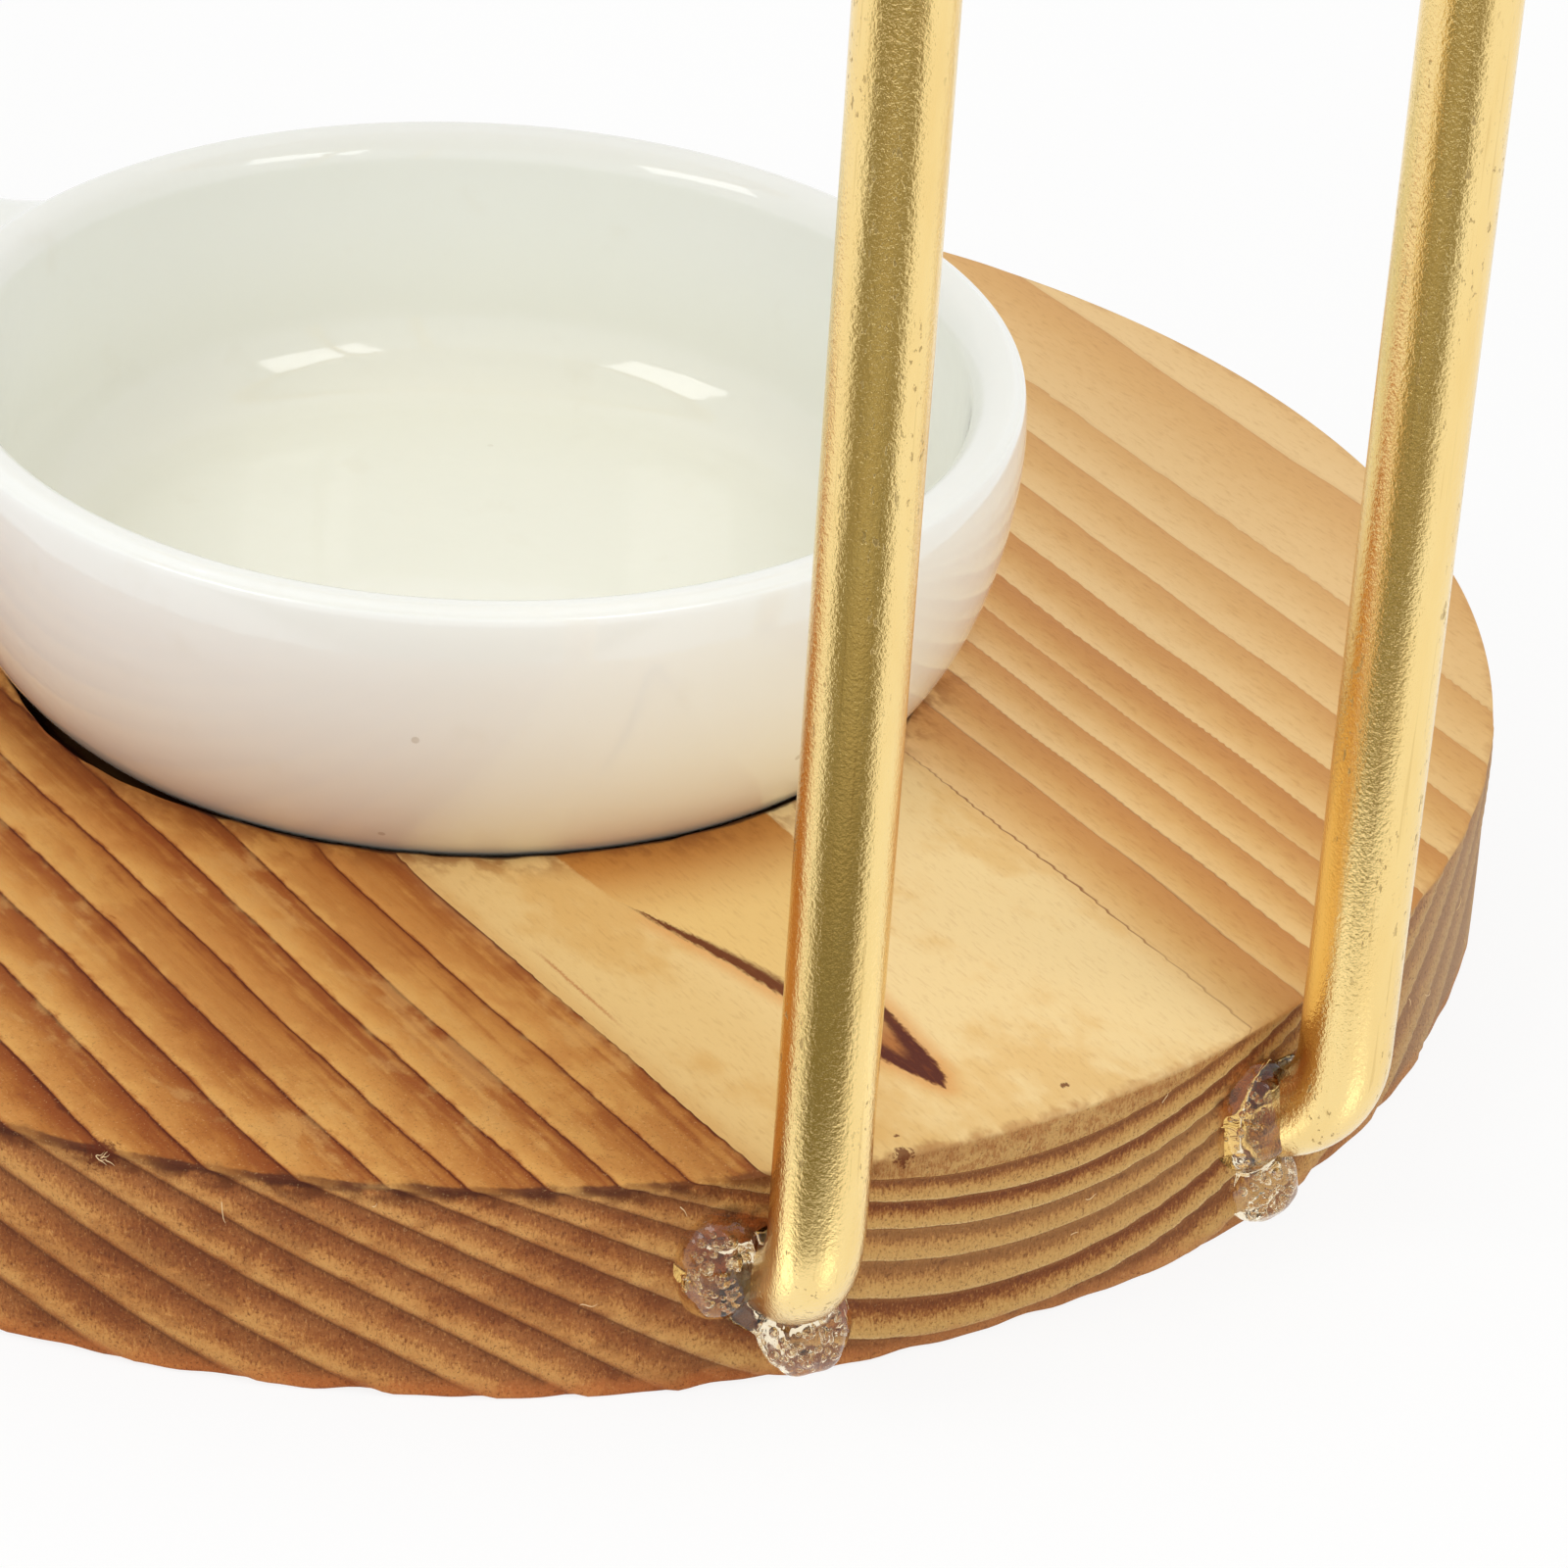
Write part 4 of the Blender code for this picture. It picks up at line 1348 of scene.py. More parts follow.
@dataclass(frozen=True)
class StandLayout:
    """Where the wire stand's parts lie."""

    base_radius: float = 0.050
    base_thickness: float = 0.0108
    wire_radius: float = 0.00208
    standoff: float = 0.0034
    spacing: float = 0.028
    elbow_radius: float = 0.0052
    top_bend_radius: float = 0.008
    spigot_length: float = 0.009
    hole_clearance: float = 0.0003
    hole_end_room: float = 0.0006
    ring_radius: float = 0.03795
    ring_height: float = 0.084
    end_past_ring: float = 0.0004
    mouth_spare: float = 0.0003
    mouth_length: float = 0.004
    drill_point: float = 0.0012
    hole_sides: int = 48

    @property
    def spigot_height(self) -> float:
        """The height of the holes in the disc's side."""
        return self.base_thickness / 2

    @property
    def axis_radius(self) -> float:
        """How far the uprights stand from the burner's axis."""
        return self.base_radius + self.standoff

    def bearing(self, side: Side) -> float:
        """An upright's bearing from the burner's axis, in radians from +X."""
        return math.pi / 2 - side.value * math.asin(self.spacing / 2 / self.axis_radius)

    def radial_point(self, side: Side, radius: float, height: float) -> np.ndarray:
        """A point in an upright's plane."""
        bearing = self.bearing(side)
        return np.array([radius * math.cos(bearing), radius * math.sin(bearing), height])

    def route(self, side: Side) -> np.ndarray:
        """The wire's axis, from its end in the wood round the elbow, up, and in to the ring.

        Args:
            side: Which upright.

        Returns:
            Points along the axis.
        """
        outer, low, high, elbow = self.axis_radius, self.spigot_height, self.ring_height, self.elbow_radius
        bend = min(self.top_bend_radius, outer - self.ring_radius)
        plane = joined(
            line((self.base_radius - self.spigot_length, low), (outer - elbow, low), 0.001),
            arc((outer - elbow, low + elbow), elbow, elbow, -90, 0, 20),
            line((outer, low + elbow), (outer, high - bend), 0.002),
            arc((outer - bend, high - bend), bend, bend, 0, 90, 24),
            line((outer - bend, high), (self.ring_radius + self.end_past_ring, high), 0.001),
        )
        return np.array([self.radial_point(side, radius, height) for radius, height in plane])

    def spigot_hole(self, side: Side) -> bpy.types.Object:
        """The drilled hole with its opened mouth, as a solid that cuts the wood.

        Args:
            side: Which upright's hole.

        Returns:
            The cutter.
        """
        radius = self.wire_radius + self.hole_clearance
        inside = self.elbow_radius - self.standoff
        opened = radius + (self.elbow_radius - math.sqrt(self.elbow_radius**2 - inside**2) + self.mouth_spare)
        depth = self.spigot_length + self.hole_end_room
        profile = np.array([
            (0.0, self.mouth_length), (opened, self.mouth_length), (opened, 0.0),
            (radius, -inside - self.mouth_spare), (radius, -depth), (0.0, -depth - self.drill_point),
        ])
        hole = turned("hole", profile, turned_points(profile[1:-1], full_turn(self.hole_sides)))
        turn = Matrix.Rotation(self.bearing(side) - math.pi / 2, 4, "Z")
        place = turn @ Matrix.Translation((0.0, self.base_radius, self.spigot_height))
        hole.data.transform(place @ Matrix.Rotation(-math.pi / 2, 4, "X"))
        return hole


@dataclass(frozen=True)
class GoldPlating:
    """Polished brass-coloured plating over drawn wire, with fewer pits and less shine over a weld."""

    name: str = "gold_plating"
    pits: float = 1.0
    roughness: float = 0.085

    def material(self) -> bpy.types.Material:
        """Makes the finish: a fine orange peel, a few pits and scratches, and cloudier patches.

        Returns:
            The material.
        """
        g = Graph.of_material(self.name)
        place = g.place()
        peel = g.stretched(place, (6.0, 6.0, 5.0), 3.0, 0.6)
        swell = g.stretched(place, (0.8, 0.8, 0.2))
        cloud = g.stretched(place, (0.7, 0.7, 0.16), 3.0, 0.6)
        speck = g.stretched(place, (3.4, 3.4, 1.5), 3.0, 0.65)
        pitted = g.rise(g.stretched(place, (0.5, 0.5, 0.09), 1.0), 0.47, 0.62)
        pit = g.rise(speck, 0.6, 0.67) * pitted * self.pits
        scratch = g.rise(g.stretched(place, (4.0, 4.0, 0.12), 1.0), 0.66, 0.74)
        colour = g.mix(cloud, srgb(252, 226, 160), srgb(245, 210, 136))
        colour = g.paint(colour, pit * 0.55, (130, 104, 58))
        colour = g.paint(colour, scratch * 0.2, (180, 142, 76))
        normal = g.bump(peel, 0.000036)
        normal = g.bump(swell, 0.00003, under=normal)
        normal = g.bump(1.0 - pit, 0.00001, under=normal)
        roughness = self.roughness + g.rise(cloud, 0.45, 0.75) * 0.08 + pit * 0.35
        return g.surface(Base_Color=colour, Metallic=1.0, Roughness=roughness, Normal=normal)


@dataclass
class WireStand:
    """The uprights, the ring, and the weld that joins them."""

    layout: StandLayout = field(default_factory=StandLayout)
    sides: int = 48
    ring_steps: int = 300
    weld_reach: float = 0.0011
    seat_gap: float = 0.0003
    weld_shape: Point = (1.0, 0.85, 0.95)
    weld_ripple: float = 0.018
    weld_lumps: float = 0.03
    cope: float = 0.00004

    def ring(self, name: str, spare: float = 0.0) -> bpy.types.Object:
        """A ring of wire, or of wire that is a little fatter.

        Args:
            name: The object's name.
            spare: How much fatter the wire is.

        Returns:
            The ring.
        """
        at = self.layout
        thick = at.wire_radius + spare
        return torus(name, at.ring_radius, at.ring_height, thick, self.ring_steps, self.sides)

    def upright(self, name: str, side: Side, spare: float = 0.0) -> bpy.types.Object:
        """The bent wire on one side, or one that is a little fatter."""
        return tube(name, self.layout.route(side), self.layout.wire_radius + spare, self.sides)

    def build_upright(self, side: Side) -> bpy.types.Object:
        """Makes one bent wire, coped to the ring.

        Args:
            side: Which upright.

        Returns:
            The wire.
        """
        wire = self.upright(f"wire_upright_{side.name.lower()}", side)
        cut_away(wire, self.ring("ring_tool", self.cope))
        shade_with_edges(wire, 40)
        return wire

    def build_weld(self, side: Side) -> bpy.types.Object:
        """Makes the rippled bead of weld where an upright meets the ring.

        Args:
            side: Which upright.

        Returns:
            The bead.
        """
        at = self.layout
        reach = at.wire_radius + self.seat_gap + self.weld_reach
        built = bmesh.new()
        bmesh.ops.create_icosphere(built, subdivisions=5, radius=1.0)
        bead = add_built(f"weld_fillet_{side.name.lower()}", built)
        points = corner_array(bead.data)
        ripple = self.weld_ripple * np.sin(16 * points[:, 1] + 3 * points[:, 0])
        ripple = ripple + self.weld_lumps * lumpiness(points, 0.4, side.value)
        points = points * (1 - self.weld_lumps + ripple[:, None] * 0.9) * reach * np.array(self.weld_shape)
        turn = np.array(Matrix.Rotation(at.bearing(side) - math.pi / 2, 3, "Z"))
        centre = at.radial_point(side, at.ring_radius + at.wire_radius, at.ring_height)
        set_corners(bead, points @ turn.T + centre)
        cut_away(bead, self.ring("ring_tool", self.cope))
        cut_away(bead, self.upright("wire_tool", side, self.cope))
        shade_with_edges(bead, 50)
        return bead

    def build_and_dress(self) -> None:
        """Makes every wire and bead and gives each its finish."""
        plating = GoldPlating().material()
        weld = GoldPlating("gold_over_weld", 0.4, 0.2).material()
        finish_piece(self.ring("wire_ring"), plating, Body.STAND, ["bowl_ring"])
        for side in Side:
            name = side.name.lower()
            finish_piece(self.build_upright(side), plating, Body.STAND, [f"upright_{name}"])
            finish_piece(self.build_weld(side), weld, Body.STAND, [f"weld_bead_{name}"])


# Glazed ware


@dataclass(frozen=True)
class IvoryGlaze:
    """Glossy ivory glaze over a pale clay body."""

    name: str
    foot_mm: float
    rim_mm: float

    def material(self) -> bpy.types.Material:
        """Makes the finish: slightly uneven glaze that breaks paler at the rim, painted warm light bounced
        from the wood towards the foot, and a bare clay foot.

        Returns:
            The material.
        """
        g = Graph.of_material(self.name)
        place = g.place()
        _, _, z = g.axes(place)
        pool = g.stretched(place, (0.07, 0.07, 0.1))
        drift = g.stretched(place, (0.3, 0.3, 0.3), 3.0)
        colour = g.mix(pool, srgb(244, 247, 241), srgb(247, 249, 246))
        # Painted light: a warm tint low on the ware, inside and out, stands in for light bounced up from the
        # wood.
        low = g.rise(z, self.rim_mm - 2.0, self.foot_mm + 1.0)
        colour = g.paint(colour, low * 0.5, (244, 241, 219))
        colour = g.paint(colour, g.rise(drift, 0.6, 0.8) * 0.12, (224, 216, 192))
        rim = g.rise(z, self.rim_mm - 1.3, self.rim_mm)
        colour = g.paint(colour, rim * 0.35, (246, 247, 245))
        dots = g.rise(g.cells(place, 0.22), 0.05, 0.035) * g.rise(g.noise(place, 0.12), 0.5, 0.56)
        colour = g.paint(colour, dots * 0.4, (176, 160, 132))
        foot = g.rise(z + (drift - 0.5) * 0.3, self.foot_mm + 0.34, self.foot_mm + 0.16)
        colour = g.mix(foot, colour, g.mix(drift, srgb(226, 214, 190), srgb(208, 194, 168)))
        grain = g.noise(place, 9.0, 2.0)
        normal = g.bump(pool * 0.6 + drift * 0.4, 0.00009)
        normal = g.bump(grain * foot, 0.00005, under=normal)
        roughness = 0.055 + drift * 0.03 + foot * 0.6
        return g.surface(
            Base_Color=colour, Roughness=roughness, Normal=normal, Coat_Weight=0.25, Coat_Roughness=0.02
        )


@dataclass
class TealightCup:
    """The cup with its lug handle, heights from its foot."""

    foot_height: float = 0.0086
    foot_radius: float = 0.0176
    belly_radius: float = 0.0264
    belly_height: float = 0.0151
    height: float = 0.0166
    wall: float = 0.00275
    lip_edge: float = 0.0017
    draft: float = 0.0005
    floor_height: float = 0.0035
    floor_fillet: float = 0.005
    foot_ring: float = 0.004
    foot_hollow: float = 0.0008
    foot_pull: float = 0.62
    belly_pull: float = 0.6
    handle_bearing: float = math.radians(-54.5)
    handle_length: float = 0.016
    handle_root_width: float = 0.0163
    handle_tip_width: float = 0.0132
    handle_thickness: float = 0.0042
    handle_drop: float = 0.0006
    handle_squareness: float = 2.6
    nose_half_width: float = 0.0026
    root_fillet: float = 0.003
    root_droop: float = 0.0018
    lower_levels: tuple[float, ...] = (
        0.0101, 0.0083, 0.0065, 0.0048, 0.0033, 0.0020, 0.0010, 0.0004, 0.00009,
    )
    stations: Curve = (
        (0.0013, 1.0), (0.003, 1.0), (0.006, 1.0), (0.0093, 1.0),
        (0.0118, 0.97), (0.0138, 0.86), (0.0152, 0.66),
    )
    steps: int = 48
    handle_columns: int = 5
    subdivisions: int = 2
    fitting_rounds: int = 4

    def wall_handles(self) -> Curve:
        """The outer wall's curve from the foot up to the belly.

        Returns:
            The curve's four handles, as radius and height.
        """
        run = self.belly_radius - self.foot_radius
        return (
            (self.foot_radius, 0.0),
            (self.foot_radius + self.foot_pull * run, 0.0),
            (self.belly_radius, self.belly_height * (1 - self.belly_pull)),
            (self.belly_radius, self.belly_height),
        )

    def outer_radius_at(self, height: float) -> float:
        """The outer wall's radius at a height above the foot."""
        curve = cubic(self.wall_handles(), 400)
        return float(np.interp(height, curve[:, 1], curve[:, 0]))

    def handle_levels(self) -> tuple[float, float, float]:
        """The heights of the handle's top, middle and underside."""
        top = self.height - self.handle_drop
        return top, top - self.handle_thickness / 2, top - self.handle_thickness

    def profile(self) -> tuple[np.ndarray, int]:
        """The cup's profile as a coarse cage.

        Returns:
            Radius and height from the middle of the floor to the middle of the underside, and the
            row at which the handle's top leaves the wall.
        """
        mouth, lip, curve = self.belly_radius - self.wall, self.lip_edge, self.floor_fillet
        inner_foot = mouth - self.draft - curve
        crown = self.belly_radius - self.wall + lip
        top, middle, under = self.handle_levels()
        floor = line((0.0, self.floor_height), (inner_foot, self.floor_height), 0.0035)
        fillet = arc((inner_foot, self.floor_height + curve), curve, curve, -90, 0, 6)
        side = line(tuple(fillet[-1]), (mouth, self.height - lip), 0.0025)
        edge = arc((crown, self.height - lip), lip, lip, 180, 90, 4)
        run, rise = self.belly_radius - crown, self.height - self.belly_height
        shoulder = arc((crown, self.belly_height), run, rise, 90, 0, 24)
        keep = [0, 5, 10, int(np.argmin(np.abs(shoulder[:, 1] - (top - 0.0001))))]
        inside = joined(floor, fillet, side, edge, shoulder[sorted(set(keep))])
        levels = (middle, under) + self.lower_levels
        outside = np.array([(self.outer_radius_at(level), level) for level in levels])
        hollow, deep = self.foot_radius - self.foot_ring, self.foot_hollow
        bottom = np.array([
            (self.foot_radius - 0.0002, 0.0), (hollow + 0.0002, 0.0), (hollow - 0.0003, 0.0003),
            (hollow - deep, deep), (hollow / 2, deep), (0.0, deep),
        ])
        return np.concatenate([inside, outside, bottom]), len(inside) - 1

    def handle_width(self, out: float) -> float:
        """Half the handle's width at a distance out from the belly, with the fillet at its root.

        Args:
            out: The distance out from the belly.

        Returns:
            Half the width.
        """
        taper = (self.handle_root_width - self.handle_tip_width) / 2 / self.handle_length
        rise = max(0.0, min((self.root_fillet - out) / self.root_fillet, 1.0))
        return self.handle_root_width / 2 - taper * out + self.root_fillet * (1 - math.sqrt(1 - rise**2))

    def handle_section(self, out: float, angles: np.ndarray, shrink: float = 1.0) -> np.ndarray:
        """Points round the handle's rounded section.

        Args:
            out: The distance out from the belly.
            angles: Where round the section each point lies, in radians.
            shrink: The section's share of its full size, at the tip.

        Returns:
            Points in the handle's own frame: out along X, across along Y, and Z up.
        """
        power = 2 / self.handle_squareness
        across = np.sign(np.cos(angles)) * np.abs(np.cos(angles)) ** power
        up = np.sign(np.sin(angles)) * np.abs(np.sin(angles)) ** power
        _, middle, _ = self.handle_levels()
        lateral = across * self.handle_width(out) * shrink
        bend = 1 - min(out / self.handle_length, 1.0)
        sag = self.belly_radius - np.sqrt(self.belly_radius**2 - lateral**2)
        flare = max(0.0, 1 - out / self.root_fillet)
        droop = np.where(up < 0, -self.root_droop * (1 - math.sqrt(1 - flare**2)), 0.0)
        heights = middle + up * self.handle_thickness / 2 * min(1.0, shrink**0.45) + droop
        return np.stack([self.belly_radius + out - bend * sag, lateral, heights], 1)

    def cage(self) -> tuple[np.ndarray, list[tuple[int, ...]], np.ndarray]:
        """The quads that a subdivision surface smooths into the cup and its handle.

        Returns:
            Points, faces, and how firmly the smooth surface is held to each point.
        """
        profile, first = self.profile()
        width = 2 * math.pi / self.steps
        columns = self.handle_columns
        bearings = (np.arange(self.steps) - columns / 2) * width
        rows = turned_points(profile[1:-1], bearings)
        count = len(rows)
        points = [np.array([(0, 0, profile[0, 1])]), rows.reshape(-1, 3), np.array([(0, 0, profile[-1, 1])])]
        row = first - 1
        patch = {(row + r, c) for r in (0, 1) for c in range(columns)}
        faces = []
        for number, face in enumerate(ring_faces(count, self.steps, first=1)):
            if (number // self.steps, number % self.steps) not in patch:
                faces.append(face)
        faces += pole_faces(count, self.steps)

        def wall_index(level: int, column: int) -> int:
            """The wall's corner at one of the handle's three levels."""
            return 1 + (row + level) * self.steps + column

        top_angles = np.radians(np.linspace(156, 24, columns + 1))
        angles = np.concatenate([top_angles, [0.0], -top_angles[::-1], [math.pi]])
        loop = [wall_index(0, c) for c in range(columns + 1)]
        loop += [wall_index(1, columns)]
        loop += [wall_index(2, c) for c in reversed(range(columns + 1))]
        loop += [wall_index(1, 0)]
        total = 2 + count * self.steps
        for out, shrink in self.stations:
            section = self.handle_section(out, angles, shrink)
            points.append(section)
            new_loop = list(range(total, total + len(section)))
            total += len(section)
            for i in range(len(loop)):
                j = (i + 1) % len(loop)
                faces.append((loop[i], loop[j], new_loop[j], new_loop[i]))
            loop = new_loop
        _, middle, _ = self.handle_levels()
        tip, inner_count = self.belly_radius + self.handle_length, columns - 1
        across = np.linspace(-self.nose_half_width, self.nose_half_width, inner_count)
        points.append(np.stack([np.full(inner_count, tip), across, np.full(inner_count, middle)], 1))
        inner = [loop[-1]] + list(range(total, total + inner_count)) + [loop[columns + 1]]
        over = loop[: columns + 1]
        beneath = loop[columns + 2 : 2 * columns + 3][::-1]
        for c in range(columns):
            faces.append((over[c], over[c + 1], inner[c + 1], inner[c]))
            faces.append((inner[c], inner[c + 1], beneath[c + 1], beneath[c]))
        firm = np.ones(total + inner_count)
        for level in range(3):
            for c in range(columns + 1):
                firm[wall_index(level, c)] = 0.0
        return np.concatenate(points), faces, firm

    def build(self) -> bpy.types.Object:
        """Makes the cup: a smooth surface through the cage's points.

        Returns:
            The mesh object.
        """
        targets, faces, firm = self.cage()
        cup = add_mesh("glazed_tealight_cup", targets, faces)
        clean = bmesh.new()
        clean.from_mesh(cup.data)
        keep = np.array([bool(v.link_faces) for v in clean.verts])
        loose = [v for v in clean.verts if not v.link_faces]
        bmesh.ops.delete(clean, geom=loose, context="VERTS")
        bmesh.ops.recalc_face_normals(clean, faces=clean.faces)
        clean.to_mesh(cup.data)
        clean.free()
        targets, firm = targets[keep], firm[keep]
        rounding = cup.modifiers.new("rounding", "SUBSURF")
        rounding.levels = self.subdivisions
        rounding.render_levels = self.subdivisions
        rounding.boundary_smooth = "ALL"
        cage = targets.copy()
        for _ in range(self.fitting_rounds):
            set_corners(cup, cage)
            graph = bpy.context.evaluated_depsgraph_get()
            graph.update()
            made = corner_array(cup.evaluated_get(graph).to_mesh())
            cage += (targets - made[: len(targets)]) * firm[:, None]
        set_corners(cup, cage)
        turn = Matrix.Rotation(self.handle_bearing, 4, "Z")
        cup.data.transform(Matrix.Translation((0.0, 0.0, self.foot_height)) @ turn)
        cup.data.shade_smooth()
        return cup

    def build_and_dress(self) -> None:
        """Makes the cup and gives it its glaze and its place in the frame."""
        glaze = IvoryGlaze("ivory_glaze_cup", self.foot_height / MM, (self.foot_height + self.height) / MM)
        finish_piece(self.build(), glaze.material(), Body.CUP, ["tealight_cup"])


@dataclass
class OilBowl:
    """The bowl for water and oil, heights from its foot."""

    radius: float = 0.042
    height: float = 0.033
    wall: float = 0.0028
    foot_radius: float = 0.016
    foot_height: float = 0.0018
    foot_ring: float = 0.0035
    lip_depth: float = 0.002
    lip_edge: float = 0.0009
    foot_pull: float = 0.62
    rise_pull: float = 0.65
    stand_height: float = 0.07497
    foot_edge: float = 0.0005
    shortest_step: float = 1e-7
    inner_shifts: Curve = ((0.7, 1.0), (0.6, 1.0), (1.0, 0.3), (1.0, 0.0))
    steps: int = 288

    def outer_handles(self) -> Curve:
        """The outer wall's curve from its foot to its lip.

        Returns:
            The curve's four handles, as radius and height.
        """
        run, top = self.radius - self.foot_radius, self.height - self.lip_depth
        rise = top - self.foot_height
        return (
            (self.foot_radius, self.foot_height),
            (self.foot_radius + self.foot_pull * run, self.foot_height),
            (self.radius, top - self.rise_pull * rise),
            (self.radius, top),
        )

    def profile(self) -> np.ndarray:
        """From the middle of the floor, up the inside, over the lip and down to the underside.

        Returns:
            Rows of radius and height.
        """
        inner = [
            (radius - inward * self.wall, height + upward * self.wall)
            for (radius, height), (inward, upward) in zip(self.outer_handles(), self.inner_shifts)
        ]
        inside = cubic(inner, 60)
        crown = self.radius - self.wall + self.lip_edge
        edge = arc((crown, self.height - self.lip_edge), self.lip_edge, self.lip_edge, 180, 90, 8)
        top = self.height - self.lip_depth
        shoulder = arc((crown, top), self.radius - crown, self.lip_depth, 90, 0, 12)
        outside = cubic(self.outer_handles(), 60)[::-1]
        hollow, turn = self.foot_radius - self.foot_ring, self.foot_edge
        foot = joined(
            line((self.foot_radius, self.foot_height), (self.foot_radius, turn), 0.0006),
            arc((self.foot_radius - turn, turn), turn, turn, 0, -90, 4),
            line((self.foot_radius - turn, 0.0), (hollow + turn, 0.0), 0.0008),
            arc((hollow + turn, turn), turn, turn, 270, 180, 4),
            line((hollow, turn), (hollow, self.foot_height), 0.0006),
            line((hollow, self.foot_height), (0.0, self.foot_height), 0.0015),
        )
        floor = line((0.0, float(inside[0, 1])), tuple(inside[0]), 0.0015)
        return joined(floor, inside, np.concatenate([inside[-1:], edge]), shoulder, outside, foot)

    def build(self) -> bpy.types.Object:
        """Makes the bowl.

        Returns:
            The mesh object.
        """
        profile = self.profile()
        gaps = np.linalg.norm(np.diff(profile, axis=0), axis=1)
        profile = profile[np.concatenate([[True], gaps > self.shortest_step])]
        profile[:, 1] += self.stand_height
        bowl = turned("glazed_oil_bowl", profile, turned_points(profile[1:-1], full_turn(self.steps)))
        shade_with_edges(bowl, 60)
        return bowl

    def build_and_dress(self) -> None:
        """Makes the bowl and gives it its glaze and its place in the frame."""
        foot, rim = self.stand_height / MM, (self.stand_height + self.height) / MM
        glaze = IvoryGlaze("ivory_glaze_bowl", foot, rim)
        finish_piece(self.build(), glaze.material(), Body.BOWL, ["oil_bowl"])


# Glue


@dataclass(frozen=True)
class HotMelt:
    """Clear hot-melt glue, a little yellow, full of bubbles."""

    def material(self) -> bpy.types.Material:
        """Makes the finish.

        Returns:
            The material.
        """
        g = Graph.of_material("hot_melt_glue")
        place = g.place()
        normal = g.bump(g.noise(place, 0.9), 0.00008)
        normal = g.bump(g.noise(place, 2.4, 1.0), 0.000022, under=normal)
        return g.surface(
            Base_Color=srgb(252, 238, 208), Roughness=0.01, Normal=normal, Transmission_Weight=1.0, IOR=1.5
        )


@dataclass(frozen=True)
class GlueLump:
    """One lump of a bead: its middle along the wood's side and up from the hole, and its half sizes."""

    across: float
    up: float
    half_width: float
    half_height: float
    thickness: float = 0.0019


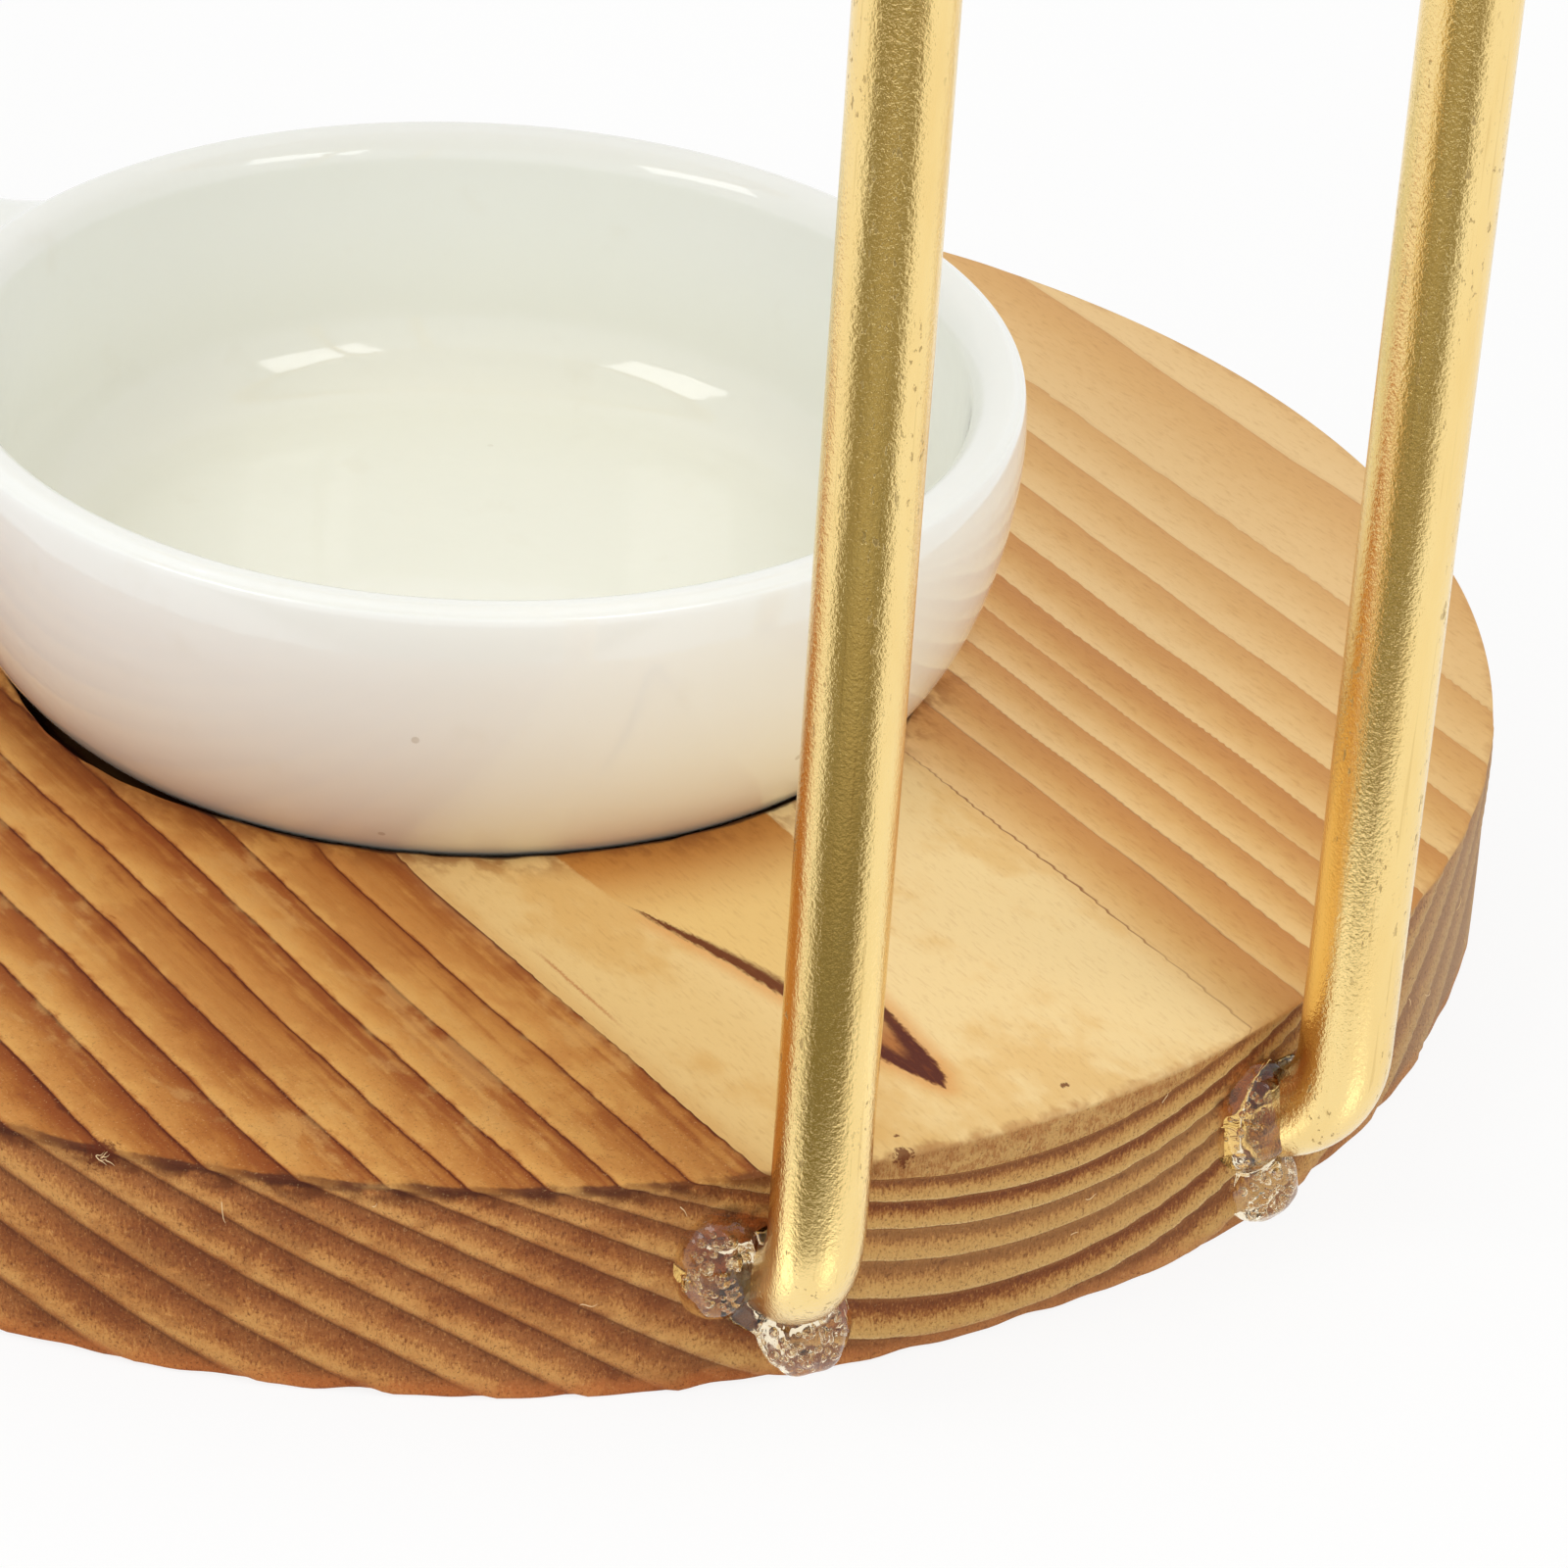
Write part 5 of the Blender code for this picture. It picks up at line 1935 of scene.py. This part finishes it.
@dataclass
class GlueBeads:
    """The glue heaped round each wire where it enters the wood."""

    layout: StandLayout = field(default_factory=StandLayout)
    collar: float = 0.0012
    floor_gap: float = 0.0004
    bite: float = 0.00009
    wire_bite: float = 0.00007
    voxel: float = 0.00015
    steps: int = 360
    sides: int = 48
    bubbles: int = 80
    smallest_bubble: float = 0.00009
    largest_bubble: float = 0.00046
    warped_from: float = 0.00026
    warp: float = 0.55
    swell: float = 0.10
    seed: int = 40
    tries_each: int = 30
    core: float = 0.86
    room: float = 1.2
    wood_room: float = 0.00005
    wire_room: float = 0.0003
    floor_room: float = 0.0004
    outer_reach: float = 0.004
    between: float = 0.00003

    def lumps(self, side: Side) -> tuple[GlueLump, ...]:
        """The lumps of one upright's bead.

        Args:
            side: Which upright's bead.

        Returns:
            The lumps, with the thin one round the wire first.
        """
        reach = self.layout.wire_radius + self.collar
        end = self.layout.spigot_height - self.floor_gap
        around = GlueLump(0.0, 0.0, reach - 0.0003, reach - 0.0003, 0.0004)
        if side is Side.LEFT:
            drip = GlueLump(0.0007, -(0.0011 + end) / 2, 0.0019, (end - 0.0011) / 2)
            return around, GlueLump(0.0018, 0.0009, 0.0021, 0.0028), drip
        drip = GlueLump(-0.0010, -0.0001 - end / 2, 0.0021, end / 2 - 0.0001, 0.0017)
        return around, GlueLump(0.0031, 0.0012, 0.0019, 0.0026, 0.0018), drip

    def lump_frame(self, side: Side, lump: GlueLump) -> tuple[np.ndarray, np.ndarray]:
        """Where a lump lies.

        Args:
            side: Which upright's bead.
            lump: The lump.

        Returns:
            Its axes as rows, across, outwards and up, and its middle.
        """
        at = self.layout
        bearing = at.bearing(side) - lump.across / at.base_radius
        out = np.array([math.cos(bearing), math.sin(bearing), 0.0])
        across = np.array([math.sin(bearing), -math.cos(bearing), 0.0])
        centre = out * at.base_radius + (0, 0, at.spigot_height + lump.up)
        return np.stack([across, out, (0.0, 0.0, 1.0)]), centre

    def build(self, side: Side) -> bpy.types.Object:
        """Makes one bead with the bubbles in it.

        Args:
            side: Which upright's bead.

        Returns:
            The mesh object.
        """
        at = self.layout
        built = bmesh.new()
        for lump in self.lumps(side):
            axes, centre = self.lump_frame(side, lump)
            sizes = np.array([lump.half_width, lump.thickness, lump.half_height])
            egg = bmesh.ops.create_icosphere(built, subdivisions=4, radius=1.0)["verts"]
            for vert in egg:
                local = np.array(vert.co)
                shift = Vector((lump.up * 900, side.value, 0.0))
                swell = 1 + self.swell * noise.noise(Vector(local * 2.3) + shift)
                vert.co = Vector((local * sizes * swell) @ axes + centre)
        bead = add_built(f"hot_melt_{side.name.lower()}", built)
        remesh = bead.modifiers.new("fuse", "REMESH")
        remesh.mode = "VOXEL"
        remesh.voxel_size = self.voxel
        soften = bead.modifiers.new("soften", "SMOOTH")
        soften.factor = 0.6
        soften.iterations = 6
        apply_modifiers(bead)
        face = at.base_radius - self.bite
        disc = np.array([(0.0, 0.02), (face, 0.02), (face, -0.01), (0.0, -0.01)])
        cut_away(bead, turned("wood_tool", disc, turned_points(disc[1:-1], full_turn(self.steps))))
        cut_away(bead, tube("wire_tool", at.route(side), at.wire_radius - self.wire_bite, self.sides))
        self.add_bubbles(bead, side)
        bead.data.shade_smooth()
        return bead

    def add_bubbles(self, bead: bpy.types.Object, side: Side) -> None:
        """Puts closed hollows into the glue.

        Args:
            bead: The bead that takes them.
            side: Which upright it belongs to.
        """
        at = self.layout
        rng = np.random.default_rng(self.seed + side.value)
        lumps = self.lumps(side)
        placed: list[tuple[np.ndarray, float]] = []
        built = bmesh.new()
        built.from_mesh(bead.data)
        bearing = at.bearing(side)
        outwards = np.array([math.cos(bearing), math.sin(bearing), 0.0])
        elbow = at.route(side)
        for _ in range(self.bubbles * self.tries_each):
            if len(placed) == self.bubbles:
                break
            lump = lumps[int(rng.integers(1, len(lumps)))]
            radius = float(rng.uniform(self.smallest_bubble, self.largest_bubble))
            axes, centre = self.lump_frame(side, lump)
            local = rng.normal(size=3)
            local *= rng.uniform(0.0, 1.0) ** (1 / 3) / np.linalg.norm(local)
            sizes = np.array([lump.half_width, lump.thickness, lump.half_height]) * self.core - radius
            if sizes.min() <= 0:
                continue
            point = (local * sizes) @ axes + centre
            if math.hypot(point[0], point[1]) < at.base_radius + self.wood_room + radius * self.room:
                continue
            nearest = np.linalg.norm(elbow - point, axis=1).min()
            if nearest < at.wire_radius + radius * self.room + self.wire_room:
                continue
            if point[2] < radius + self.floor_room or (point @ outwards) > at.axis_radius + self.outer_reach:
                continue
            if any(np.linalg.norm(point - other) < radius + size + self.between for other, size in placed):
                continue
            placed.append((point, radius))
            warped = radius > self.warped_from
            ball = bmesh.ops.create_icosphere(built, subdivisions=3 if warped else 2, radius=radius)["verts"]
            if warped:
                for vert in ball:
                    spot = vert.co / radius * 1.9 + Vector(point) / MM * 7.0
                    vert.co *= 0.9 + self.warp * noise.noise(spot)
            bmesh.ops.translate(built, verts=ball, vec=Vector(point))
            faces = {face for vert in ball for face in vert.link_faces}
            bmesh.ops.reverse_faces(built, faces=list(faces))
        built.to_mesh(bead.data)
        built.free()
        LOG.info("%s holds %d bubbles", bead.name, len(placed))

    def build_and_dress(self) -> None:
        """Makes both beads and gives them their finish. Light reaches the wood through them."""
        glue = HotMelt().material()
        for side in Side:
            name = f"glue_bead_{side.name.lower()}"
            bead = finish_piece(self.build(side), glue, Body.STAND, [name])
            bead.visible_shadow = False
            bead.visible_diffuse = False


# The studio


@dataclass(frozen=True)
class Studio:
    """The camera, the lamps, the floor and the cards on it that the wires mirror."""

    lens: float = 146.25
    sensor: float = 36.0
    distance: float = 0.30897
    elevation: float = math.radians(30.23)
    roll: float = math.radians(3.83)
    across: float = -0.01546
    up: float = 0.00830
    turn: float = math.radians(144.41)
    wood_top: float = 0.0108
    floor_reach: float = 4.0
    floor_glow: float = 0.22
    seen_glow: float = 0.64
    world_light: float = 0.8
    lamp_power: float = 0.9
    lamp_distance: float = 0.7
    lamp_size: float = 0.30
    card_lift: float = 0.0002
    card_corners: tuple[tuple[float, float], ...] = ((-72.0, 0.021), (58.0, 0.021), (58.0, 0.6), (-72.0, 0.6))
    glint_lift: float = 0.0003
    glint_reach: float = 0.020
    glint_strength: float = 2.1

    def camera_axes(self) -> tuple[np.ndarray, np.ndarray, np.ndarray]:
        """The camera's right, up and forward directions in the burner's frame.

        Returns:
            Three unit vectors.
        """
        turn = np.array(Matrix.Rotation(self.turn, 3, "Z"))
        right = turn @ (1.0, 0.0, 0.0)
        forward = turn @ (0.0, math.cos(self.elevation), -math.sin(self.elevation))
        up = turn @ (0.0, math.sin(self.elevation), math.cos(self.elevation))
        rolled_right = math.cos(self.roll) * right + math.sin(self.roll) * up
        rolled_up = math.cos(self.roll) * up - math.sin(self.roll) * right
        return rolled_right, rolled_up, forward

    def add_camera(self) -> None:
        """Sets the camera at the photograph's viewing angle."""
        right, up, forward = self.camera_axes()
        place = -self.across * right - self.up * up - self.distance * forward + (0, 0, self.wood_top)
        data = bpy.data.cameras.new("photo_camera")
        data.lens = self.lens
        data.sensor_width = self.sensor
        data.clip_start = 0.01
        data.clip_end = 20.0
        camera = bpy.data.objects.new("photo_camera", data)
        rotation = Matrix((right, up, -forward)).transposed().to_4x4()
        camera.matrix_world = Matrix.Translation(place) @ rotation
        bpy.context.scene.collection.objects.link(camera)
        bpy.context.scene.camera = camera

    def direction(self, azimuth: float, elevation: float = 0.0) -> Vector:
        """A direction from the burner, by degrees to the right of the camera and above the floor.

        Args:
            azimuth: Degrees to the right of the camera.
            elevation: Degrees above the floor.

        Returns:
            A unit vector.
        """
        _, _, forward = self.camera_axes()
        toward = Vector((-forward[0], -forward[1], 0.0)).normalized()
        flat = Matrix.Rotation(math.radians(azimuth), 3, "Z") @ toward
        tilt = math.radians(elevation)
        return flat * math.cos(tilt) + Vector((0, 0, math.sin(tilt)))

    def add_softbox(self, name: str, azimuth: float, elevation: float) -> None:
        """Hangs a square softbox that faces the burner.

        Args:
            name: The lamp's name.
            azimuth: Degrees to the right of the camera.
            elevation: Degrees above the floor.
        """
        data = bpy.data.lights.new(name, "AREA")
        data.shape = "SQUARE"
        data.size = self.lamp_size
        data.energy = self.lamp_power
        lamp = bpy.data.objects.new(name, data)
        way = self.direction(azimuth, elevation)
        lamp.location = way * self.lamp_distance + Vector((0, 0, self.wood_top))
        lamp.rotation_euler = way.to_track_quat("Z", "Y").to_euler()
        bpy.context.scene.collection.objects.link(lamp)

    def add_world(self) -> None:
        """A world that is white to the eye and in reflections, and dimmer as a light."""
        world = bpy.data.worlds.new("studio")
        bpy.context.scene.world = world
        g = Graph(world)
        strength = g.seen() * (1.0 - self.world_light) + self.world_light
        g.end(g.node("Background", {"Color": WHITE, "Strength": strength}))

    def floor_finish(self) -> bpy.types.Material:
        """Matt white card that shows white to the eye and in reflections, with the burner's soft shadow.

        Returns:
            The material.
        """
        g = Graph.of_material("white_sweep")
        matt = g.node("BsdfDiffuse", {"Color": srgb(244, 244, 243)})
        return g.end(g.blended(self.floor_glow + g.seen() * self.seen_glow, matt, g.glow(WHITE)))

    def polar(self, g: Graph, centre: Sequence[float]) -> tuple[Wire, Wire]:
        """How a place on the floor lies from a point.

        Args:
            g: The graph that takes the nodes.
            centre: The point.

        Returns:
            How many degrees the place lies to the right of the camera, and how many millimetres away.
        """
        away = g.vector_math("ADD", g.place(), tuple(-value / MM for value in centre))
        ahead = g.vector_math("DOT_PRODUCT", away, tuple(self.direction(0.0)), "Value")
        right = g.vector_math("DOT_PRODUCT", away, tuple(self.direction(90.0)), "Value")
        return g.math("ARCTAN2", right, ahead) * math.degrees(1.0), g.length(away)

    def card_finish(self, centre: np.ndarray) -> bpy.types.Material:
        """A card that only reflections see, glowing dim, with soft edges and paler in its middle: the painted
        dark stripe that the wires reflect.

        Args:
            centre: The middle of the uprights on the floor.

        Returns:
            The material.
        """
        g = Graph.of_material("dark_card")
        turn, reach = self.polar(g, centre)
        spread = g.rise(reach, 22.0, 64.0)
        dark = g.rise(turn + spread * 14.0, -54.0, -42.0) * g.rise(turn - spread * 24.0, 22.0, 8.0)
        dark = dark * g.rise(reach, 20.0, 36.0)
        paler = g.bell(reach - 94.0, 44.0) * g.bell(turn + 10.0, 40.0)
        shade = g.paint(srgb(146, 138, 108), paler * 0.9, (206, 196, 160))
        shade = g.paint(shade, g.rise(reach, 85.0, 45.0) * 0.65, (114, 106, 76))
        return g.end(g.glow(g.mix(dark, WHITE, shade)))

    def glint_finish(self, name: str, centre: np.ndarray) -> bpy.types.Material:
        """Bright patches with soft edges that one elbow mirrors, clear between them.

        Args:
            name: The material's name.
            centre: The foot of the upright on the floor.

        Returns:
            The material.
        """
        g = Graph.of_material(name)
        turn, reach = self.polar(g, centre)
        patch = g.math("MAXIMUM", g.bell(turn + 68.0, 20.0), g.bell(turn - 34.0, 13.0) * 0.8)
        patch = patch * g.rise(reach, 4.0, 7.5) * g.rise(reach, 19.0, 13.0)
        bright = g.glow((1.0, 0.97, 0.92, 1.0), self.glint_strength)
        return g.end(g.blended(patch, g.node("BsdfTransparent"), bright))

    def lay(
        self, name: str, corners: Sequence[Sequence[float]], finish: bpy.types.Material, mirrored_only: bool
    ) -> None:
        """Lays a flat piece of the stage.

        Args:
            name: Its name.
            corners: Its four corners.
            finish: Its material.
            mirrored_only: Whether reflections alone see it.
        """
        card = add_mesh(name, np.array(corners), [(0, 1, 2, 3)])
        card.data.materials.append(finish)
        for kind in ("camera", "diffuse", "transmission", "shadow", "volume_scatter"):
            setattr(card, f"visible_{kind}", not mirrored_only)

    def lay_floor_and_cards(self, layout: StandLayout) -> None:
        """Lays the floor, the glowing dark card before the uprights that paints the dark stripe in their
        reflections, and a bright one by each one's foot for painted highlights on the elbows.

        Args:
            layout: Where the uprights stand.
        """
        square = np.array([(-1.0, -1.0, 0.0), (1.0, -1.0, 0.0), (1.0, 1.0, 0.0), (-1.0, 1.0, 0.0)])
        self.lay("floor", square * self.floor_reach, self.floor_finish(), False)
        left, right = (layout.radial_point(side, layout.axis_radius, 0.0) for side in Side)
        middle = (left + right) / 2
        fan = [np.array(self.direction(azimuth)) * reach for azimuth, reach in self.card_corners]
        # Painted reflection: the dark card is seen only in reflections and gives the wires their dark stripe.
        self.lay("dark_card", middle + np.array(fan) + (0, 0, self.card_lift), self.card_finish(middle), True)
        for side in Side:
            name = f"glint_card_{side.name.lower()}"
            centre = layout.radial_point(side, layout.axis_radius, self.glint_lift)
            self.lay(name, centre + square * self.glint_reach, self.glint_finish(name, centre), True)

    def build(self, layout: StandLayout) -> None:
        """Sets up the whole studio.

        Args:
            layout: Where the uprights stand.
        """
        self.add_camera()
        self.add_world()
        self.lay_floor_and_cards(layout)
        self.add_softbox("softbox_left", -55.0, 48.0)
        self.add_softbox("softbox_right", 50.0, 50.0)
        bpy.context.scene.view_settings.view_transform = "Standard"


def main() -> None:
    """Builds and dresses every piece."""
    logging.basicConfig(level=logging.INFO, format="%(message)s")
    stand = WireStand()
    Studio().build(stand.layout)
    WoodenBase().build_and_dress(stand.layout)
    stand.build_and_dress()
    GlueBeads(stand.layout).build_and_dress()
    TealightCup().build_and_dress()
    OilBowl().build_and_dress()
    bpy.context.view_layer.update()


if __name__ == "__main__":
    main()
